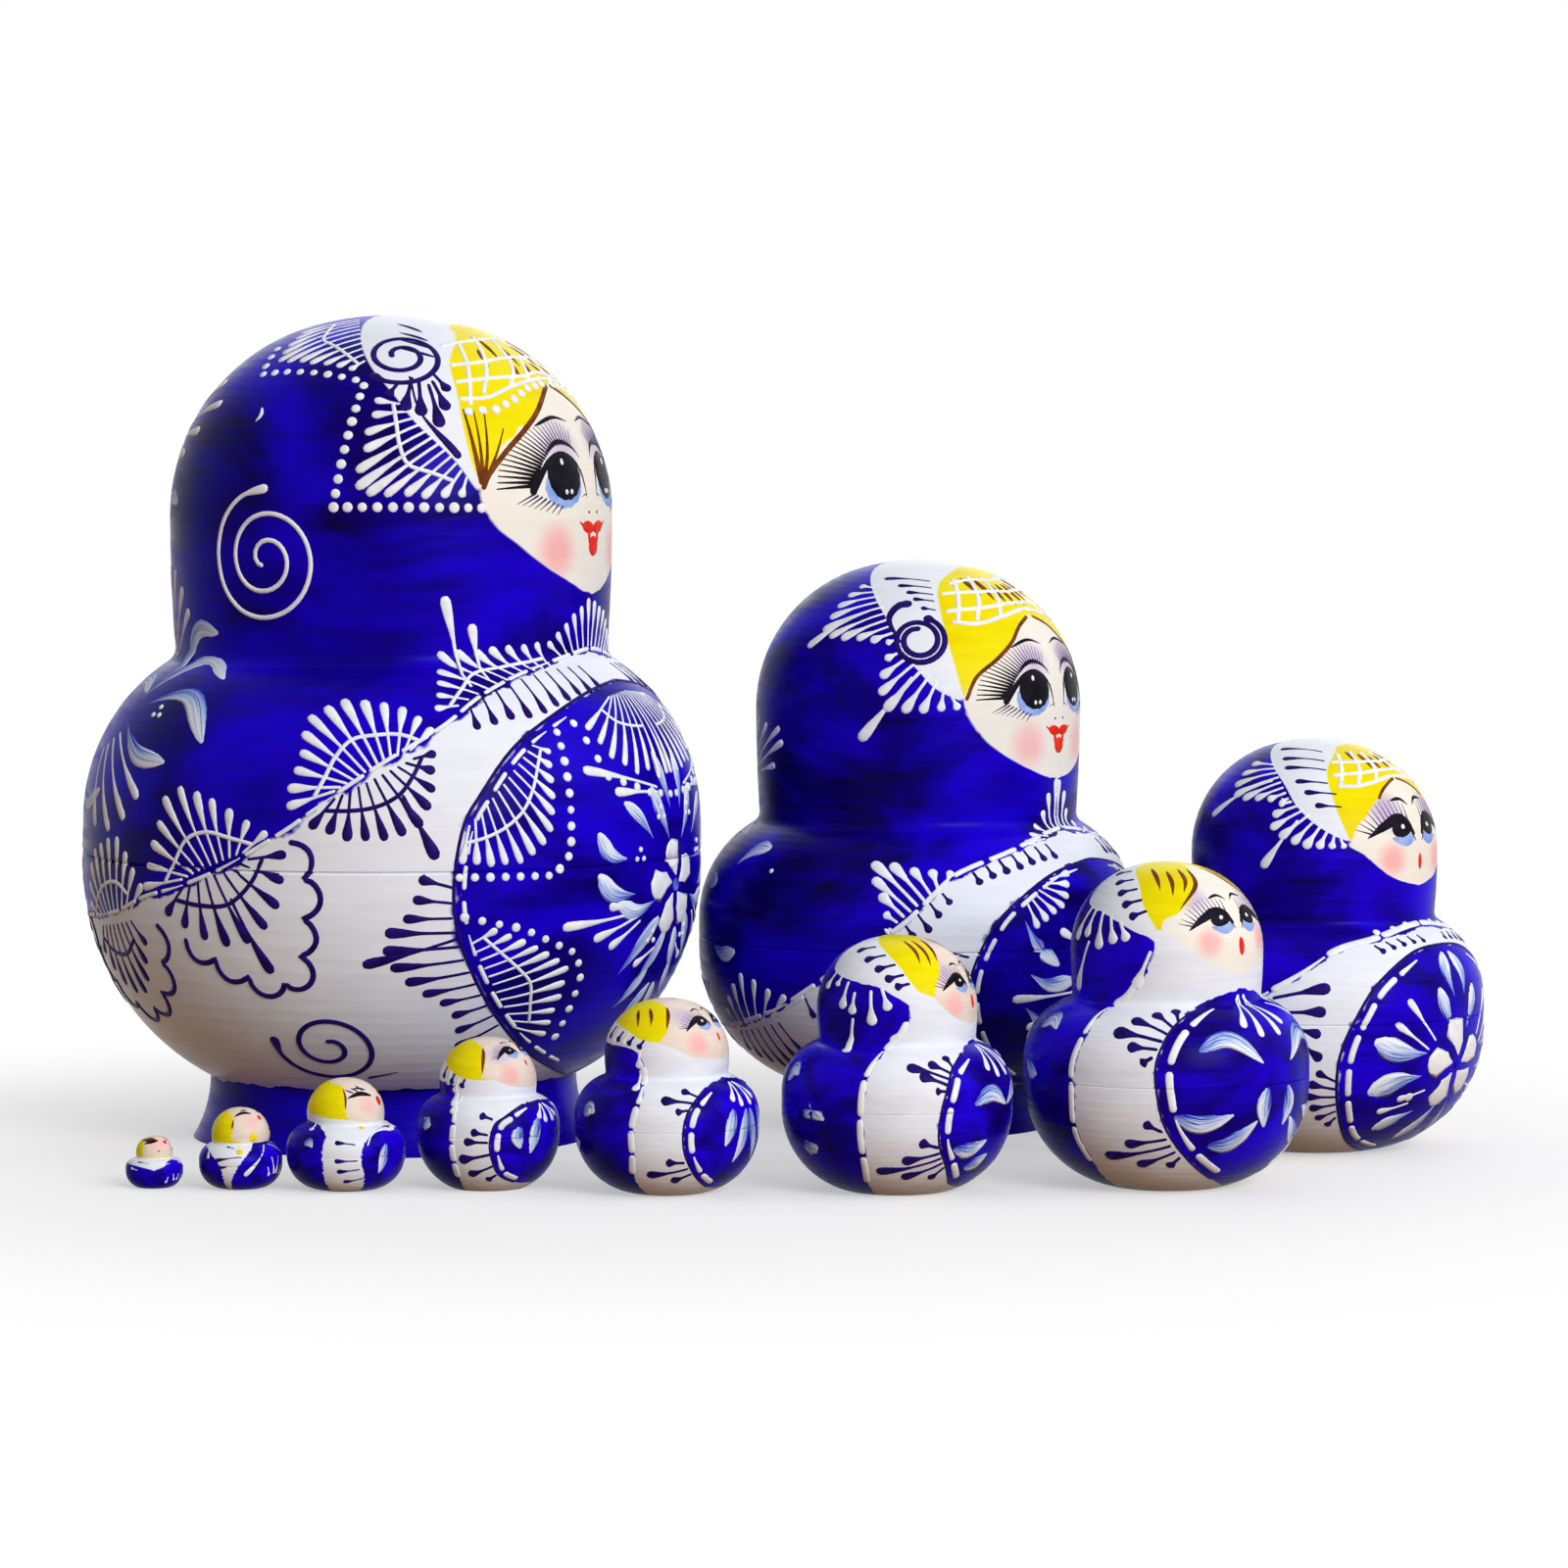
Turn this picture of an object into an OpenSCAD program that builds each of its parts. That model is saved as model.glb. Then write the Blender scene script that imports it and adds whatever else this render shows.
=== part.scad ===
// Set of ten turned nesting dolls, standing side by side on a table.
// Dolls 1 to 9 are hollow and part at the belly, and doll 10 is one solid turning.
// The origin is the middle of the largest doll's foot, on the table.

/* [Doll 1] */
// Height from the table to the crown
doll_1_h = 150; // [142:0.5:165]
// Belly diameter
doll_1_belly_d = 112.8; // [102:0.2:124]
// Head diameter
doll_1_head_d = 80.6; // [74:0.2:88]
// Height of the neck crease
doll_1_neck_h = 88; // [82:0.5:94]
// Diameter of the waist between the belly and the foot
doll_1_base_d = 67; // [58:0.5:76]
// Height of the turned foot
doll_1_foot_h = 11.5; // [8:0.5:15]
// How far the foot flares out below the waist
doll_1_foot_flare = 3.2; // [1.5:0.1:5]
// Wall thickness
doll_1_wall = 6; // [4.5:0.1:7.5]
// Height of the spigot rim above the joint line
doll_1_spigot_h = 9; // [6:0.5:11]

/* [Doll 2] */
// Height from the table to the crown
doll_2_h = 105; // [99:0.5:115]
// Belly diameter
doll_2_belly_d = 81.4; // [74:0.2:89]
// Head diameter
doll_2_head_d = 60.2; // [55:0.2:65]
// Height of the neck crease
doll_2_neck_h = 57; // [53:0.5:61]
// Diameter of the waist between the belly and the foot
doll_2_base_d = 46.5; // [40:0.5:52]
// Height of the turned foot
doll_2_foot_h = 8.5; // [6:0.5:11]
// How far the foot flares out below the waist
doll_2_foot_flare = 1.6; // [0.8:0.1:3]
// Wall thickness
doll_2_wall = 4.5; // [3.5:0.1:5.5]
// Height of the spigot rim above the joint line
doll_2_spigot_h = 6; // [4:0.5:7]
// Plan gap to doll 1
doll_2_gap = 0.8; // [0.5:0.1:20]
// Bearing seen from doll 1
doll_2_bearing = 9.4; // [0:0.1:20]

/* [Doll 3] */
// Height from the table to the crown
doll_3_h = 73.6; // [69:0.2:81]
// Belly diameter
doll_3_belly_d = 61.2; // [56:0.2:66]
// Head diameter
doll_3_head_d = 44.2; // [40:0.2:48]
// Height of the neck crease
doll_3_neck_h = 41.6; // [39:0.2:44]
// Diameter of the flat base
doll_3_base_d = 24; // [20:0.5:30]
// Wall thickness
doll_3_wall = 3.2; // [2.6:0.1:3.8]
// Height of the spigot rim above the joint line
doll_3_spigot_h = 4.4; // [3:0.1:5]
// Plan gap to doll 2
doll_3_gap = 6.9; // [0.5:0.1:20]
// Plan gap to doll 4
doll_3_front_gap = 6.5; // [0.5:0.1:20]

/* [Doll 4] */
// Height from the table to the crown
doll_4_h = 55.5; // [52:0.2:61]
// Belly diameter
doll_4_belly_d = 49; // [45:0.2:53]
// Head diameter
doll_4_head_d = 33; // [30:0.2:36]
// Height of the neck crease
doll_4_neck_h = 32.2; // [30:0.2:34]
// Diameter of the flat base
doll_4_base_d = 20; // [17:0.5:26]
// Wall thickness
doll_4_wall = 2.4; // [2:0.1:2.8]
// Height of the spigot rim above the joint line
doll_4_spigot_h = 3.4; // [2.4:0.1:4]
// Plan gap to doll 5
doll_4_gap = 2.6; // [0.5:0.1:20]
// Bearing seen from doll 5
doll_4_bearing = 8; // [-10:0.5:20]

/* [Doll 5] */
// Height from the table to the crown
doll_5_h = 43.5; // [41:0.2:47.6]
// Belly diameter
doll_5_belly_d = 39.4; // [36:0.2:43]
// Head diameter
doll_5_head_d = 27.4; // [25:0.2:30]
// Height of the neck crease
doll_5_neck_h = 25.6; // [24:0.2:27]
// Diameter of the flat base
doll_5_base_d = 18; // [15:0.5:22]
// Wall thickness
doll_5_wall = 2.2; // [1.8:0.1:2.5]
// Height of the spigot rim above the joint line
doll_5_spigot_h = 2.9; // [2:0.1:3.4]
// Plan gap to doll 6
doll_5_gap = 3.9; // [0.5:0.1:20]
// Bearing seen from doll 6
doll_5_bearing = 4.4; // [-10:0.1:20]

/* [Doll 6] */
// Height from the table to the crown
doll_6_h = 33; // [31:0.2:36]
// Belly diameter
doll_6_belly_d = 31.4; // [29:0.2:34]
// Head diameter
doll_6_head_d = 21.2; // [19.6:0.2:23]
// Height of the neck crease
doll_6_neck_h = 20; // [19:0.2:21]
// Diameter of the flat base
doll_6_base_d = 13; // [12:0.5:18]
// Wall thickness
doll_6_wall = 1.8; // [1.5:0.1:2]
// Height of the spigot rim above the joint line
doll_6_spigot_h = 2.4; // [1.6:0.1:2.8]
// Plan gap to doll 7
doll_6_gap = 3.3; // [0.5:0.1:20]
// Bearing seen from doll 7
doll_6_bearing = -10.2; // [-20:0.1:10]

/* [Doll 7] */
// Height from the table to the crown
doll_7_h = 25.8; // [24.4:0.1:28]
// Belly diameter
doll_7_belly_d = 24.4; // [22.6:0.1:26.4]
// Head diameter
doll_7_head_d = 16.6; // [15.4:0.1:18]
// Height of the neck crease
doll_7_neck_h = 16; // [15:0.1:16.8]
// Diameter of the flat base
doll_7_base_d = 12.4; // [10:0.2:15]
// Wall thickness
doll_7_wall = 1.5; // [1.3:0.05:1.7]
// Height of the spigot rim above the joint line
doll_7_spigot_h = 2; // [1.4:0.1:2.3]
// Plan gap to doll 1
doll_7_gap = 9.3; // [0.5:0.1:20]
// Bearing seen from doll 1
doll_7_bearing = -74.3; // [-90:0.1:-60]

/* [Doll 8] */
// Height from the table to the crown
doll_8_h = 19; // [18:0.1:20.6]
// Belly diameter
doll_8_belly_d = 20.2; // [18.6:0.1:21.6]
// Head diameter
doll_8_head_d = 13.2; // [12.2:0.1:14.2]
// Height of the neck crease
doll_8_neck_h = 11.3; // [10.8:0.1:12]
// Diameter of the flat base
doll_8_base_d = 9.4; // [9:0.2:12]
// Wall thickness
doll_8_wall = 1.4; // [1.2:0.05:1.5]
// Height of the spigot rim above the joint line
doll_8_spigot_h = 1.5; // [1.1:0.1:1.8]
// Plan gap to doll 7
doll_8_gap = 2; // [0.5:0.1:20]
// Bearing seen from doll 7
doll_8_bearing = 184.7; // [170:0.1:200]

/* [Doll 9] */
// Height from the table to the crown
doll_9_h = 13.8; // [13.2:0.1:15]
// Belly diameter
doll_9_belly_d = 14.2; // [13.2:0.1:15.2]
// Head diameter
doll_9_head_d = 9.8; // [9.2:0.1:10.6]
// Height of the neck crease
doll_9_neck_h = 7.8; // [7.4:0.1:8.2]
// Diameter of the flat base
doll_9_base_d = 6.8; // [6:0.1:9]
// Wall thickness
doll_9_wall = 1.2; // [1:0.05:1.3]
// Height of the spigot rim above the joint line
doll_9_spigot_h = 1.2; // [0.9:0.1:1.3]
// Plan gap to doll 8
doll_9_gap = 0.9; // [0.5:0.1:20]
// Bearing seen from doll 8
doll_9_bearing = 176.8; // [165:0.1:195]

/* [Doll 10] */
// Height from the table to the crown
doll_10_h = 8.8; // [8.2:0.1:9.8]
// Belly diameter
doll_10_belly_d = 9.8; // [9:0.1:10.4]
// Head diameter
doll_10_head_d = 6.2; // [5.8:0.1:6.8]
// Height of the neck crease
doll_10_neck_h = 5; // [4.7:0.1:5.3]
// Diameter of the flat base
doll_10_base_d = 5.6; // [4.6:0.1:7]
// Plan gap to doll 9
doll_10_gap = 2.9; // [0.5:0.1:20]
// Bearing seen from doll 9
doll_10_bearing = 176.2; // [165:0.1:195]

/* [Joint] */
// Radial clearance of every spigot in its socket
fit_clearance = 0.08; // [0.04:0.01:0.1]
// Room left above a spigot inside its socket
end_gap = 0.2; // [0.1:0.05:0.3]

/* [Hidden] */
heights = [
    doll_1_h, doll_2_h, doll_3_h, doll_4_h, doll_5_h,
    doll_6_h, doll_7_h, doll_8_h, doll_9_h, doll_10_h
];
belly_ds = [
    doll_1_belly_d, doll_2_belly_d, doll_3_belly_d, doll_4_belly_d, doll_5_belly_d,
    doll_6_belly_d, doll_7_belly_d, doll_8_belly_d, doll_9_belly_d, doll_10_belly_d
];
head_ds = [
    doll_1_head_d, doll_2_head_d, doll_3_head_d, doll_4_head_d, doll_5_head_d,
    doll_6_head_d, doll_7_head_d, doll_8_head_d, doll_9_head_d, doll_10_head_d
];
neck_hs = [
    doll_1_neck_h, doll_2_neck_h, doll_3_neck_h, doll_4_neck_h, doll_5_neck_h,
    doll_6_neck_h, doll_7_neck_h, doll_8_neck_h, doll_9_neck_h, doll_10_neck_h
];
base_ds = [
    doll_1_base_d, doll_2_base_d, doll_3_base_d, doll_4_base_d, doll_5_base_d,
    doll_6_base_d, doll_7_base_d, doll_8_base_d, doll_9_base_d, doll_10_base_d
];
walls = [
    doll_1_wall, doll_2_wall, doll_3_wall, doll_4_wall, doll_5_wall,
    doll_6_wall, doll_7_wall, doll_8_wall, doll_9_wall
];
spigot_hs = [
    doll_1_spigot_h, doll_2_spigot_h, doll_3_spigot_h, doll_4_spigot_h, doll_5_spigot_h,
    doll_6_spigot_h, doll_7_spigot_h, doll_8_spigot_h, doll_9_spigot_h
];
// Only the two largest dolls stand on a turned foot
foot_hs = [doll_1_foot_h, doll_2_foot_h, 0, 0, 0, 0, 0, 0, 0, 0];
foot_flares = [doll_1_foot_flare, doll_2_foot_flare];

// Where the belly starts to run straight and how far, as shares of its height, and the joint line in that band
hip_shares = [0.5, 0.51, 0.53, 0.56, 0.55, 0.55, 0.57, 0.52, 0.53, 0.56];
band_share = 0.11;
seam_shares = [0.3, 0.4, 0.6, 0.3, 0.3, 0.3, 0.3, 0.4, 0.4];
// Neck, temple and crown radii as shares of the head's radius, and the crease as a share of the neck's
neck_share = 0.975;
temple_share = 0.895;
crown_share = 1.29;
crease_share = 0.08;
// The spigot takes this share of the wall, and the joint's edges are eased by this share of it
spigot_share = 0.5;
easing_share = 0.06;
// Largest turn between neighbouring points of an arc, and how deep a chord may lie inside it
arc_step = 5;
arc_sag = 0.02;
$fn = 96;

hollow = [for (i = [0 : len(walls) - 1]) i];
solid = len(walls);
function name(i, piece) = str("doll_", i + 1, "_", piece);

function belly_r(i) = belly_ds[i] / 2;
function head_r(i) = head_ds[i] / 2;
function base_r(i) = base_ds[i] / 2;
function neck_r(i) = neck_share * head_r(i);
function belly_rise(i, share) = foot_hs[i] + share * (neck_hs[i] - foot_hs[i]);
function hip_h(i) = belly_rise(i, hip_shares[i]);
function shoulder_h(i) = belly_rise(i, hip_shares[i] + band_share);
function seam_h(i) = hip_h(i) + seam_shares[i] * (shoulder_h(i) - hip_h(i));
function floor_h(i) = foot_hs[i] + walls[i];
function bore_r(i) = belly_r(i) - walls[i];
function spigot_r(i) = belly_r(i) - spigot_share * walls[i];
function easing(i) = easing_share * walls[i];

// Radius of an arc that leaves an upright line and moves sideways by drift over a height
function leaving_r(drift, rise) = (drift * drift + rise * rise) / (2 * drift);
function heading(from, to) = atan2(to.y - from.y, to.x - from.x);
function backwards(points) = [for (k = [len(points) - 1 : -1 : 0]) points[k]];

// Points along an arc, without its first one, so that arcs follow on without a doubled point
function arc(centre, r, from, to) =
    let (
        step = min(arc_step, 2 * acos(1 - arc_sag / r)),
        steps = max(2, ceil(abs(to - from) / step))
    )
    [for (k = [1 : steps]) centre + r * [cos(from + (to - from) * k / steps), sin(from + (to - from) * k / steps)]];

// The right-hand crossing of two circles, seen from the first centre towards the second
function circles_meet(c1, r1, c2, r2) =
    let (
        d = norm(c2 - c1),
        along = (r1 * r1 - r2 * r2 + d * d) / (2 * d),
        across = sqrt(r1 * r1 - along * along),
        u = (c2 - c1) / d
    )
    c1 + along * u + across * [u.y, -u.x];

// Outline of a foot's cove, from the table up to the waist
function foot_curve(i) =
    let (
        r = leaving_r(foot_flares[i], foot_hs[i]),
        centre = [base_r(i) + r, foot_hs[i]],
        low = 180 + asin(foot_hs[i] / r)
    )
    concat([[base_r(i) + foot_flares[i], 0]], arc(centre, r, low, 180));

// Outline of the belly below its straight band, set in by inset from a start height
function lower_curve(i, inset, start_h) =
    let (
        r = leaving_r(belly_r(i) - base_r(i), hip_h(i) - foot_hs[i]),
        centre = [belly_r(i) - r, hip_h(i)],
        from = -asin((hip_h(i) - start_h) / (r - inset))
    )
    concat([centre + (r - inset) * [cos(from), sin(from)]], arc(centre, r - inset, from, 0));

// Outline from the straight band up to the crown, set in by inset, from a start height
function upper_curve(i, inset, start_h) =
    let (
        shoulder_r = leaving_r(belly_r(i) - neck_r(i), neck_hs[i] - shoulder_h(i)),
        shoulder_c = [belly_r(i) - shoulder_r, shoulder_h(i)],
        temple_r = temple_share * head_r(i),
        crown_r = crown_share * head_r(i),
        crown_c = [0, heights[i] - crown_r],
        temple_out = head_r(i) - temple_r,
        temple_up = sqrt(pow(crown_r - temple_r, 2) - temple_out * temple_out),
        temple_c = crown_c + [temple_out, temple_up],
        cheek_r = leaving_r(head_r(i) - neck_r(i), temple_c.y - neck_hs[i]),
        cheek_c = [head_r(i) - cheek_r, temple_c.y],
        crease_r = crease_share * neck_r(i),
        crease_c = circles_meet(shoulder_c, shoulder_r + crease_r, cheek_c, cheek_r + crease_r),
        from = asin(max(0, start_h - shoulder_h(i)) / (shoulder_r - inset)),
        shoulder_end = heading(shoulder_c, crease_c),
        cheek_start = heading(cheek_c, crease_c),
        temple_end = heading(crown_c, temple_c)
    )
    concat(
        [shoulder_c + (shoulder_r - inset) * [cos(from), sin(from)]],
        arc(shoulder_c, shoulder_r - inset, from, shoulder_end),
        arc(crease_c, crease_r + inset, 180 + shoulder_end, 180 + cheek_start),
        arc(cheek_c, cheek_r - inset, cheek_start, 0),
        arc(temple_c, temple_r - inset, 0, temple_end),
        arc(crown_c, crown_r - inset, temple_end, 90)
    );

// Outside of a doll from the middle of its base up to the straight band
function underside(i) =
    concat(
        [[0, 0]],
        foot_hs[i] > 0 ? foot_curve(i) : [],
        lower_curve(i, 0, foot_hs[i])
    );

function lower_half_outline(i) =
    let (
        seam = seam_h(i),
        top = seam + spigot_hs[i],
        ease = easing(i)
    )
    concat(
        underside(i),
        [
            [belly_r(i), seam - ease],
            [belly_r(i) - ease, seam],
            [spigot_r(i), seam],
            [spigot_r(i), top - ease],
            [spigot_r(i) - ease, top],
            [bore_r(i), top]
        ],
        backwards(lower_curve(i, walls[i], floor_h(i))),
        [[0, floor_h(i)]]
    );

function upper_half_outline(i) =
    let (
        seam = seam_h(i),
        top = seam + spigot_hs[i] + end_gap,
        socket_r = spigot_r(i) + fit_clearance,
        ease = easing(i)
    )
    concat(
        [
            [socket_r, top],
            [socket_r, seam],
            [belly_r(i) - ease, seam],
            [belly_r(i), seam + ease]
        ],
        upper_curve(i, 0, seam),
        backwards(upper_curve(i, walls[i], top)),
        shoulder_h(i) > top ? [[bore_r(i), top]] : []
    );

function beside(place, from_i, to_i, gap, bearing) =
    place + (belly_r(from_i) + belly_r(to_i) + gap) * [cos(bearing), sin(bearing)];

// Places on the table, each taken from a neighbour's place, both bellies and the gap between them
place_1 = [0, 0];
place_2 = beside(place_1, 0, 1, doll_2_gap, doll_2_bearing);
place_7 = beside(place_1, 0, 6, doll_7_gap, doll_7_bearing);
place_6 = beside(place_7, 6, 5, doll_6_gap, doll_6_bearing);
place_5 = beside(place_6, 5, 4, doll_5_gap, doll_5_bearing);
place_4 = beside(place_5, 4, 3, doll_4_gap, doll_4_bearing);
place_3 = circles_meet(
    place_4, belly_r(3) + belly_r(2) + doll_3_front_gap,
    place_2, belly_r(1) + belly_r(2) + doll_3_gap
);
place_8 = beside(place_7, 6, 7, doll_8_gap, doll_8_bearing);
place_9 = beside(place_8, 7, 8, doll_9_gap, doll_9_bearing);
place_10 = beside(place_9, 8, 9, doll_10_gap, doll_10_bearing);
places = [
    place_1, place_2, place_3, place_4, place_5,
    place_6, place_7, place_8, place_9, place_10
];

// Bowl-shaped half with the spigot rim
module lower_half(i) {
    color("ghostwhite")
        translate(places[i])
            rotate_extrude()
                polygon(lower_half_outline(i));
}

// Belly top, neck and head in one, with the socket
module upper_half(i) {
    color("mediumblue")
        translate(places[i])
            rotate_extrude()
                polygon(upper_half_outline(i));
}

// Smallest doll, in one piece
module solid_doll(i) {
    color("mediumblue")
        translate(places[i])
            rotate_extrude()
                polygon(concat(underside(i), upper_curve(i, 0, 0)));
}

for (i = hollow) {
    lower_half(i);
    upper_half(i);
}
solid_doll(solid);
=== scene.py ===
"""Ten painted nesting dolls: coats of paint, raised brushwork, a pale floor, soft light and a camera."""

import logging
import math
import random
from dataclasses import dataclass, field
from enum import Enum
from typing import Iterable, Sequence

import bmesh
import bpy
import numpy as np
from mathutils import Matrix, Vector
from mathutils.bvhtree import BVHTree


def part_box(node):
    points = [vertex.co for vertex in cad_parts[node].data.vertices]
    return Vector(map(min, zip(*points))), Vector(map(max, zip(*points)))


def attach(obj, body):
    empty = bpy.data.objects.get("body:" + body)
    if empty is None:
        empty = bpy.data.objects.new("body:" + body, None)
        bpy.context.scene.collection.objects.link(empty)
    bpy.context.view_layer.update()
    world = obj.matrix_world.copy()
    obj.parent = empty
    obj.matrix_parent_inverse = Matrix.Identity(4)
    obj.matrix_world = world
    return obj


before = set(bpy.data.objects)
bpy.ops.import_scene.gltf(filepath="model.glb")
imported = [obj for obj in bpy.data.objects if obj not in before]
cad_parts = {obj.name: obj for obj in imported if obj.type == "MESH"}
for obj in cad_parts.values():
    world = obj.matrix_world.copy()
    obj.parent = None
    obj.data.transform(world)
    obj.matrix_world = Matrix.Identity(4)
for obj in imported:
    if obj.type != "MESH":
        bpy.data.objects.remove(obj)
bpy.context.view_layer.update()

MM = 0.001

Socket = bpy.types.NodeSocket
Material = bpy.types.Material
Array = np.ndarray
Triple = tuple[float, float, float]
Mark = tuple[float, float]
Marks = Sequence[Mark]
Dab = tuple[Mark, float, float]
Colour = tuple[float, float, float, float]

log = logging.getLogger("nesting_dolls")


def linear(code: str) -> Colour:
    """Turn a screen colour code into linear light.

    Args:
        code: Six hexadecimal digits, red first.

    Returns:
        Red, green, blue and a full alpha.
    """
    levels = [int(code[k : k + 2], 16) / 255 for k in (0, 2, 4)]
    red, green, blue = (v / 12.92 if v <= 0.04045 else ((v + 0.055) / 1.055) ** 2.4 for v in levels)
    return red, green, blue, 1.0


class Recipe:
    """A procedural material while its nodes are put together."""

    NOISE_LOW, NOISE_HIGH = 0.3, 0.7
    SHEEN, BUMP_STRENGTH = 0.03, 0.6

    def __init__(self, name: str) -> None:
        """Start a material with a plain shader."""
        self.material = bpy.data.materials.new(name)
        self.material.use_nodes = True
        self.tree = self.material.node_tree
        self.shader = self.tree.nodes["Principled BSDF"]

    def put(self, socket: Socket, value: object) -> None:
        """Link a socket, or set it where the value is a constant."""
        if isinstance(value, Socket):
            self.tree.links.new(value, socket)
        else:
            socket.default_value = value

    def node(self, kind: str, inputs: dict, **settings: object) -> bpy.types.Node:
        """Add a node.

        Args:
            kind: Node type without its common prefix.
            inputs: Values or sockets by input name or number.
            settings: Properties of the node itself.

        Returns:
            The new node.
        """
        made = self.tree.nodes.new("ShaderNode" + kind)
        for key, value in settings.items():
            setattr(made, key, value)
        for key, value in inputs.items():
            self.put(made.inputs[key], value)
        return made

    def math(self, operation: str, first: object, second: object = 0.0, third: float = 0.0) -> Socket:
        """Work out one number from two or three."""
        return self.node("Math", {0: first, 1: second, 2: third}, operation=operation).outputs[0]

    def vector(self, operation: str, first: object, second: object) -> Socket:
        """Work out one vector from two."""
        return self.node("VectorMath", {0: first, 1: second}, operation=operation).outputs["Vector"]

    def measure(self, operation: str, first: object, second: object) -> Socket:
        """Work out a number from two vectors."""
        return self.node("VectorMath", {0: first, 1: second}, operation=operation).outputs["Value"]

    def blend(self, share: object, first: object, second: object) -> Socket:
        """Mix two colours by a share of the second."""
        return self.node("Mix", {0: share, 6: first, 7: second}, data_type="RGBA").outputs[2]

    def step(self, value: object, low: float, high: float, start: float = 0.0) -> Socket:
        """Rise smoothly from a start at low to 1 at high."""
        inputs = {0: value, 1: low, 2: high, 3: start}
        return self.node("MapRange", inputs, interpolation_type="SMOOTHSTEP").outputs[0]

    def spread(self, value: object, low: float, high: float) -> Socket:
        """Spread the middle of a noise over a range."""
        inputs = {0: value, 1: self.NOISE_LOW, 2: self.NOISE_HIGH, 3: low, 4: high}
        return self.node("MapRange", inputs).outputs[0]

    def noise(self, place: object, scale: float, detail: float = 2.0) -> Socket:
        """Cloudy noise at a place."""
        return self.node("TexNoise", {"Vector": place, "Scale": scale, "Detail": detail}).outputs[0]

    def curve(self, value: object, points: Marks) -> Socket:
        """Look a value up in a curve through given points.

        Args:
            value: Place along the curve, from 0 to 1.
            points: Places and heights of the curve, in order.

        Returns:
            The curve's height there.
        """
        made = self.node("FloatCurve", {1: value})
        line = made.mapping.curves[0].points
        for spot, (x, y) in zip((line[0], line[-1]), (points[0], points[-1])):
            spot.location = (x, y)
        for x, y in points[1:-1]:
            line.new(x, y)
        for spot in line:
            spot.handle_type = "AUTO_CLAMPED"
        made.mapping.update()
        return made.outputs[0]

    def finish(self, colour: object, roughness: object, relief: object, depth: float) -> Material:
        """Join the last sockets to the shader.

        Args:
            colour: Base colour.
            roughness: Roughness over the surface.
            relief: Height of the fine relief, from 0 to 1.
            depth: Depth of that relief in metres.

        Returns:
            The finished material.
        """
        self.put(self.shader.inputs["Base Color"], colour)
        self.put(self.shader.inputs["Roughness"], roughness)
        self.shader.inputs["Specular IOR Level"].default_value = self.SHEEN
        bump = self.node("Bump", {"Height": relief, "Distance": depth, "Strength": self.BUMP_STRENGTH})
        self.put(self.shader.inputs["Normal"], bump.outputs[0])
        return self.material


@dataclass(frozen=True)
class Paint:
    """A flat coat laid on by brush.

    Attributes:
        deep: Darker colour of the coat's broad patches and streaks.
        bright: Paler colour of the same patches and streaks.
        cloud: Share of the change that comes in broad patches, the rest being streaks.
    """

    deep: str
    bright: str
    cloud: float


class Coat(Enum):
    """Coats of the painted ground."""

    DEEP_BLUE = Paint("0a003c", "1c00d8", 0.78)
    BLUE = Paint("100058", "2200e6", 0.72)
    WHITE = Paint("e0e5f0", "ecf0f9", 0.4)
    CREAM = Paint("ebe7dd", "f1eee5", 0.5)
    PEACH = Paint("e5d0c1", "ecded2", 0.5)
    YELLOW = Paint("e6cf00", "f0e60c", 0.5)
    PINK = Paint("f4a6a8", "f8b4b4", 0.5)
    VIOLET = Paint("b9a3d0", "cbb9dc", 0.5)


@dataclass(frozen=True)
class InkFinish:
    """A thick paint for raised strokes.

    Attributes:
        deep: Darker colour of the ink's random patches.
        bright: Paler colour of those patches.
        roughness: Mean roughness.
    """

    deep: str
    bright: str
    roughness: float

    CLOUDS, GRAINS = 420.0, 2600.0
    SMOOTHER, ROUGHER = 0.08, 0.1
    GRAIN_DEPTH = 0.08 * MM

    def material(self, name: str) -> Material:
        """Make the finish.

        Args:
            name: Name of the material.

        Returns:
            The material.
        """
        recipe = Recipe(name)
        place = recipe.node("TexCoord", {}).outputs["Object"]
        cloud = recipe.noise(place, self.CLOUDS, 3.0)
        grain = recipe.noise(place, self.GRAINS)
        colour = recipe.blend(recipe.spread(cloud, 0.0, 1.0), linear(self.deep), linear(self.bright))
        roughness = recipe.spread(grain, self.roughness - self.SMOOTHER, self.roughness + self.ROUGHER)
        return recipe.finish(colour, roughness, grain, self.GRAIN_DEPTH)


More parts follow.
